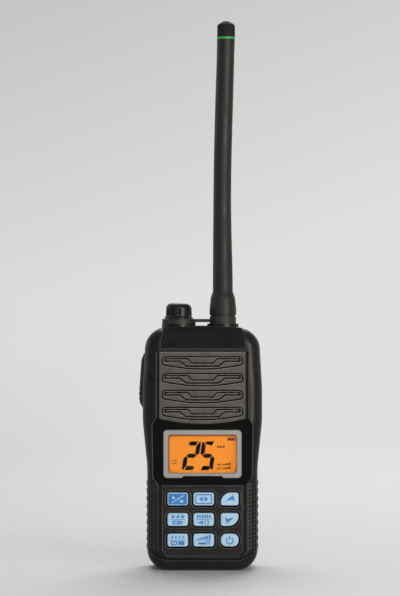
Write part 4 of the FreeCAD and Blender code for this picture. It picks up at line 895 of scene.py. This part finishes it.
legend("key_output_level", [
    DIVIDER, *[block(-3.2 + 1.3 * i, 0.45 + 0.2 * (i + 1), 0.95, 0.4 * (i + 1))
               for i in range(6)],
    *ring((2.4, -1.6), 1.15, 0.6), block(-0.85, -1.5, 4.2, 0.5),
    block(-2.6, -1.95, 0.5, 0.8), block(-1.5, -1.95, 0.5, 0.8)])

# %% [markdown]
# ## Raised beads on the keypad plate
# A fine bead is moulded round every key's dish, so that a finger finds the key by feel. Another
# runs round the plate. They are paler than the plate, a painted highlight along each ridge. A
# closed curve with a round bevel makes such a bead directly: the curve is its path and the bevel
# is its section.

# %% Beads
KEY_NAMES = ("priority", "channel", "up", "favourite", "monitor", "down", "scan",
             "output_level", "power")
PLATE_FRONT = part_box("keypad_plate")[0].y
PLATE_HALF, PLATE_LOW, PLATE_TOP = 21.85 * MM, 8.15 * MM, 46.55 * MM
PLATE_CUT = (2.3 * MM, 3.4 * MM)
DISH_REACH = 1.2 * MM
KEY_BEAD, PLATE_BEAD = 0.3 * MM, 0.26 * MM
# Paler than the plate: a painted highlight along the beads.
moulded("bead_grey", screen(56, 54, 51), 0.34, grain=0.45, depth=0.01, wear_and_highlight=0.0)


def bead(name, path, radius, finish, body="radio", closed=False):
    """A round bead along a path of (x, y, z) points."""
    piece, curve = outline_curve(name, "3D", [path], closed)
    curve.bevel_depth = radius
    curve.bevel_resolution = 2
    curve.use_fill_caps = not closed
    return finish_piece(piece, name, finish, body, smooth=60)


def at_depth(depth, outline):
    """The points of a flat (x, z) outline, set at one depth."""
    return [(across, depth, up) for across, up in outline]


for key in KEY_NAMES:
    dish = key_edge(f"key_{key}", DISH_REACH)
    bead(f"bead_{key}", at_depth(PLATE_FRONT, dish), KEY_BEAD, "bead_grey", closed=True)
border = [(PLATE_HALF - PLATE_CUT[0], PLATE_LOW), (PLATE_HALF, PLATE_LOW + PLATE_CUT[1]),
          (PLATE_HALF, PLATE_TOP)]
border += [(-x, z) for x, z in reversed(border)]
bead("bead_plate", at_depth(PLATE_FRONT, border), PLATE_BEAD, "bead_grey", closed=True)

# %% [markdown]
# ## Lips of the casing, and painted shade in its chin groove
# The casing's front recess, the lower edge of the brow and the chin are edged with fine rounded
# lips, which catch the light as thin bright lines; they are also painted paler than the casing,
# a painted highlight, the brow's palest. They are beads with open ends. Those on the chin have
# to follow the casing's rounded front edge, whose depth at a point follows from how near the
# point is to the outline: the edge is a quarter circle there. A matt black strip of painted
# shade lies in the groove over the chin.

# %% Depth of the casing's front
FOOT_ROUND = 11.5 * MM


def front_at(across, up):
    """Depth of the casing's front face low down, where its edge and corners are rounded."""
    beyond = abs(across) - (RAIL_HALF - FOOT_ROUND)
    below = FOOT_ROUND - up
    if beyond > 0 and below > 0:
        inside = FOOT_ROUND - math.hypot(beyond, below)
    else:
        inside = min(RAIL_HALF - abs(across), up)
    lost = max(0.0, RAIL_ROUND - inside)
    return RAIL_FRONT + RAIL_ROUND - math.sqrt(RAIL_ROUND ** 2 - lost ** 2)


def between(corners, step=1.0 * MM):
    """Points along straight lines from corner to corner, about a step apart."""
    points = []
    for first, last in zip(corners, corners[1:]):
        count = max(1, round(math.dist(first, last) / step))
        points += [tuple(a + (b - a) * i / count for a, b in zip(first, last))
                   for i in range(count)]
    return points + [corners[-1]]


def side_path(side, points):
    """Even points along a path given in millimetres for the right side, on either side."""
    return between([(side * x * MM, z * MM) for x, z in points])


# %% Lips, and the strip of painted shade
# The lips are paler than the casing, a painted highlight; those at the brow are palest.
moulded("lip_black", screen(36, 35, 33), 0.3, grain=0.4, depth=0.006, wear_and_highlight=0.0)
moulded("lip_worn", screen(62, 60, 56), 0.3, grain=0.4, depth=0.006, wear_and_highlight=0.0)
# A matt black strip in the chin groove: painted shade, without reflection.
moulded("seam_black", screen(4, 4, 4), 0.8, grain=0.4, depth=0.006, wear_and_highlight=0.0, specular=0.0)
LIP, BROW_LIP = 0.3 * MM, 0.34 * MM
LIP_DROP = 0.62 * MM
LIP_SUNK, SHADE_STRIP_SUNK = 0.1 * MM, 0.12 * MM
BROW_TILT = math.radians(29)
BROW_LOW = 121.5 * MM
CHIN_PATH = [(0, 6.3), (20.0, 6.3), (24.0, 7.55), (28.1, 10.95)]
RECESS_PATH = [(24.35, 45.0), (24.35, 47.2), (27.15, 51.0), (27.65, 80.2), (25.35, 84.1),
               (25.35, 119.6)]
BROW_PATH = [(23.3, 0.4), (23.3, 3.2), (22.95, 5.6), (21.45, 12.2)]

for side, label in SIDES:
    chin = side_path(side, CHIN_PATH)
    # Painted shade: a black strip that lies in the groove over the chin.
    shade_strip = [(x, front_at(x, z) + SHADE_STRIP_SUNK, z) for x, z in chin]
    bead(f"chin_shade_strip_{label}", shade_strip, LIP, "seam_black")
    low = [(x, z - LIP_DROP) for x, z in chin]
    lip = [(x, front_at(x, z) + LIP_SUNK, z) for x, z in low]
    bead(f"chin_lip_{label}", lip, LIP, "lip_black")
    recess = at_depth(RAIL_FRONT + LIP_SUNK, side_path(side, RECESS_PATH))
    bead(f"recess_lip_{label}", recess, LIP, "lip_black")
    brow = [(x, RAIL_FRONT + up * math.sin(BROW_TILT), BROW_LOW + up * math.cos(BROW_TILT))
            for x, up in side_path(side, BROW_PATH)]
    bead(f"brow_lip_{label}", brow, BROW_LIP, "lip_worn")

# %% [markdown]
# ## Relief on the back
# The battery pack's flat back gets a raised frame, and the belt clip a smaller one with three
# thumb ribs over it, as mouldings have them to stiffen a flat wall. They ride with the pack and
# the clip.

# %% Frame of the pack, frame and ribs of the clip
BACK_FACE = 21.5 * MM
CLIP_FACE = 29.8 * MM
CLIP_BEND, CLIP_SLOPE = 74.0 * MM, 0.243
RELIEF, CLIP_RELIEF = 0.45 * MM, 0.35 * MM
THUMB_RIB_HALF = 6.5 * MM
PACK_FRAME = [(11.5, 97.8), (23.0, 97.8), (24.6, 96.2), (24.6, 84.0), (22.0, 64.0),
              (22.0, 14.4), (19.0, 11.4), (0.0, 11.4)]

# The frames and ribs on the back share the lips' paler finish, a painted highlight.
for side, label in SIDES:
    pack_frame = at_depth(BACK_FACE, side_path(side, PACK_FRAME))
    bead(f"pack_frame_{label}", pack_frame, RELIEF, "lip_black", "pack")
clip_frame = at_depth(CLIP_FACE, bar(0, 61.0, 12.8, 19.2, corner=1.6))
bead("clip_frame", clip_frame, CLIP_RELIEF, "lip_black", "clip", closed=True)
for number, up in enumerate((76.4 * MM, 77.9 * MM, 79.4 * MM), start=1):
    depth = CLIP_FACE - CLIP_SLOPE * (up - CLIP_BEND)
    rib = [(-THUMB_RIB_HALF, depth, up), (THUMB_RIB_HALF, depth, up)]
    bead(f"clip_rib_{number}", rib, RELIEF, "lip_black", "clip")

# %% [markdown]
# ## The tip of the antenna
# The antenna ends in a low dome over a soft shoulder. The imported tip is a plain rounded
# cylinder, so this piece stands for it: a cylinder whose top face is inset and raised a few
# times, each step giving the next slope of the dome. Its rubber is duller than the sleeve's.

# %% Domed tip
TIP_SHOULDER = 2.55 * MM
TIP_STEPS = [(0.16, 0.5), (0.36, 0.48), (1.1, 0.72), (1.2, 0.68), (0.9, 0.36), (0.5, 0.1)]
moulded("tip_rubber", screen(29, 28, 26), 0.62, grain=0.3, depth=0.01, wear_and_highlight=0.1, patch=0.06,
        specular=0.12)

low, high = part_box("antenna_tip")
middle, height = (low + high) / 2, high.z - TIP_SHOULDER - low.z
deselect()
bpy.ops.mesh.primitive_cylinder_add(vertices=64, radius=(high.x - low.x) / 2, depth=height,
                                    location=(middle.x, middle.y, low.z + height / 2))
bpy.ops.object.mode_set(mode="EDIT")
pick_faces(lambda centre, normal: normal.z > 0.9)
for inset, rise in TIP_STEPS:
    bpy.ops.mesh.inset(thickness=inset * MM)
    bpy.ops.transform.translate(value=(0, 0, rise * MM))
bpy.ops.object.mode_set(mode="OBJECT")
tip = finish_piece(bpy.context.object, "antenna_dome", "tip_rubber", "antenna", smooth=50)
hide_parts("antenna_tip")

# %% [markdown]
# ## The spring of the pack's latch
# A small coil spring in the pack pushes the latch up. The imported spring is stiff, so a helix of
# the same size stands for it here.

# %% Latch spring
COIL_RADIUS, COIL_WIRE, COIL_TURNS = 1.5 * MM, 0.3 * MM, 6
COIL_STEPS = 16 * COIL_TURNS

low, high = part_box("latch_spring")
middle, rise = (low + high) / 2, high.z - low.z
helix = []
for step in range(COIL_STEPS + 1):
    turned = math.tau * COIL_TURNS * step / COIL_STEPS
    helix.append((middle.x + COIL_RADIUS * math.cos(turned),
                  middle.y + COIL_RADIUS * math.sin(turned),
                  low.z + COIL_WIRE + (rise - 2 * COIL_WIRE) * step / COIL_STEPS))
coil = bead("latch_coil", helix, COIL_WIRE, "steel_bright", "pack")
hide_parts("latch_spring")
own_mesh(coil)

# %% [markdown]
# ## The studio
# A large pale floor and a pale sky, with no wall, so that the radio can be looked at from any
# side. Near the radio the floor is a plain matt surface that takes its shadow. Further off it
# fades into a glow of the sky's own colour, so that no horizon shows. The colour depends on the
# direction in the world, so both can share it: a little darker to the left and higher up. Only
# camera, glossy and transmission rays see the bright sky: what lights the radio is a dim even
# light and five soft lamps.

# %% Sky and floor
BACKDROP = screen(224, 224, 223)
BACKDROP_UP = screen(198, 198, 197)
DIM_SKY = screen(120, 120, 121)
SKY_SLOPE = (-0.39, 0.0, 1.07)
SKY_REACH = 0.13
AT_LEAST_LEVEL = (-1, -1, 0)
FLOOR_HALF = 5.0
GLOW_FROM, GLOW_FULL = 0.32, 1.25


def backdrop(nodes, direction):
    """The backdrop's colour in a direction; what points down counts as level."""
    level = nodes.vector("MAXIMUM", direction, AT_LEAST_LEVEL)
    slope = nodes.vector("DOT_PRODUCT", level, SKY_SLOPE)
    return nodes.mix(nodes.spread(slope, 0.0, 1.0, 0.0, SKY_REACH), BACKDROP, BACKDROP_UP)


def make_sky():
    world = bpy.data.worlds.new("studio_sky")
    bpy.context.scene.world = world
    world.use_nodes = True
    sky = Nodes(world.node_tree)
    ray = sky.node("ShaderNodeLightPath").outputs
    mirrored = sky.larger(ray["Is Glossy Ray"], ray["Is Transmission Ray"])
    seen = sky.larger(ray["Is Camera Ray"], mirrored)
    direction = sky.node("ShaderNodeTexCoord").outputs["Generated"]
    background = sky.tree.nodes["Background"]
    sky.join(sky.mix(seen, DIM_SKY, backdrop(sky, direction)), background.inputs["Color"])
    background.inputs["Strength"].default_value = 1.0


def make_floor():
    deselect()
    bpy.ops.mesh.primitive_plane_add(size=2 * FLOOR_HALF, location=(0, 0, 0))
    floor = bpy.context.object
    floor.name = "studio_floor"
    finish = Finish("studio_floor", screen(217, 217, 216), 0.7, specular=0.2)
    distance = finish.vector("LENGTH", finish.place)
    outwards = finish.vector("NORMALIZE", finish.place)
    glow = finish.node("ShaderNodeEmission", Strength=1.0)
    finish.join(backdrop(finish, outwards), glow.inputs["Color"])
    blend = finish.node("ShaderNodeMixShader")
    finish.join(finish.spread(distance, 0.0, 1.0, GLOW_FROM, GLOW_FULL), blend.inputs[0])
    finish.join(finish.shader.outputs[0], blend.inputs[1])
    finish.join(glow.outputs[0], blend.inputs[2])
    finish.join(blend.outputs[0], finish.tree.nodes["Material Output"].inputs["Surface"])
    floor.data.materials.append(finish.material)


make_sky()
make_floor()

# %% [markdown]
# Five area lamps light the radio. The key lamp stands low in front and to the right, and draws
# the highlight down the right-hand rail and the antenna. A weak one at the left behind keeps
# the talk button readable, and a narrow strip in front above picks out the brow. One overhead
# and one behind light the floor and give the radio a soft shadow. Area lamps give soft edges
# because each point of their face shines.

# %% Lamps
LAMP_AIM = Vector((0, 0, 0.08))


def softbox(name, place, width, height, power):
    light = bpy.data.lights.new(name, "AREA")
    light.shape = "RECTANGLE"
    light.size = width
    light.size_y = height
    light.energy = power
    lamp = add_object(name, light)
    lamp.location = place
    lamp.rotation_euler = (LAMP_AIM - Vector(place)).to_track_quat("-Z", "Y").to_euler()


softbox("key_lamp", (0.84, -1.4, 0.26), 0.7, 0.6, 16)
softbox("fill_lamp", (-1.6, 0.5, 0.5), 0.6, 0.6, 1.8)
softbox("brow_lamp", (0, -1.35, 0.78), 0.5, 0.08, 3.2)
softbox("top_lamp", (0, 1.0, 1.8), 1.3, 1.3, 23)
softbox("back_lamp", (0.6, 2.2, 1.0), 1.2, 1.2, 13)

# %% [markdown]
# ## The camera
# The camera stands level, 1.6 m in front of the radio and at the height of the middle of the
# picture. A long lens from that distance keeps the sides of the casing nearly parallel.

# %% Camera
CAMERA_DISTANCE = 1.6
CAMERA_ACROSS = -1.33 * MM
CAMERA_UP = 149.3 * MM
PICTURE_HEIGHT = 596
FIELD_PER_PIXEL = 0.5532 * MM
SENSOR = 36

camera_data = bpy.data.cameras.new("portrait_camera")
camera_data.sensor_width = SENSOR
camera_data.lens = SENSOR * CAMERA_DISTANCE / (PICTURE_HEIGHT * FIELD_PER_PIXEL)
camera_data.clip_start = 0.05
camera_data.clip_end = 20
camera = add_object("portrait_camera", camera_data)
camera.location = (CAMERA_ACROSS, -CAMERA_DISTANCE, CAMERA_UP)
camera.rotation_euler = (math.radians(90), 0, 0)
bpy.context.scene.camera = camera
bpy.context.scene.view_settings.view_transform = "Standard"
print("lens", round(camera_data.lens, 1), "mm")
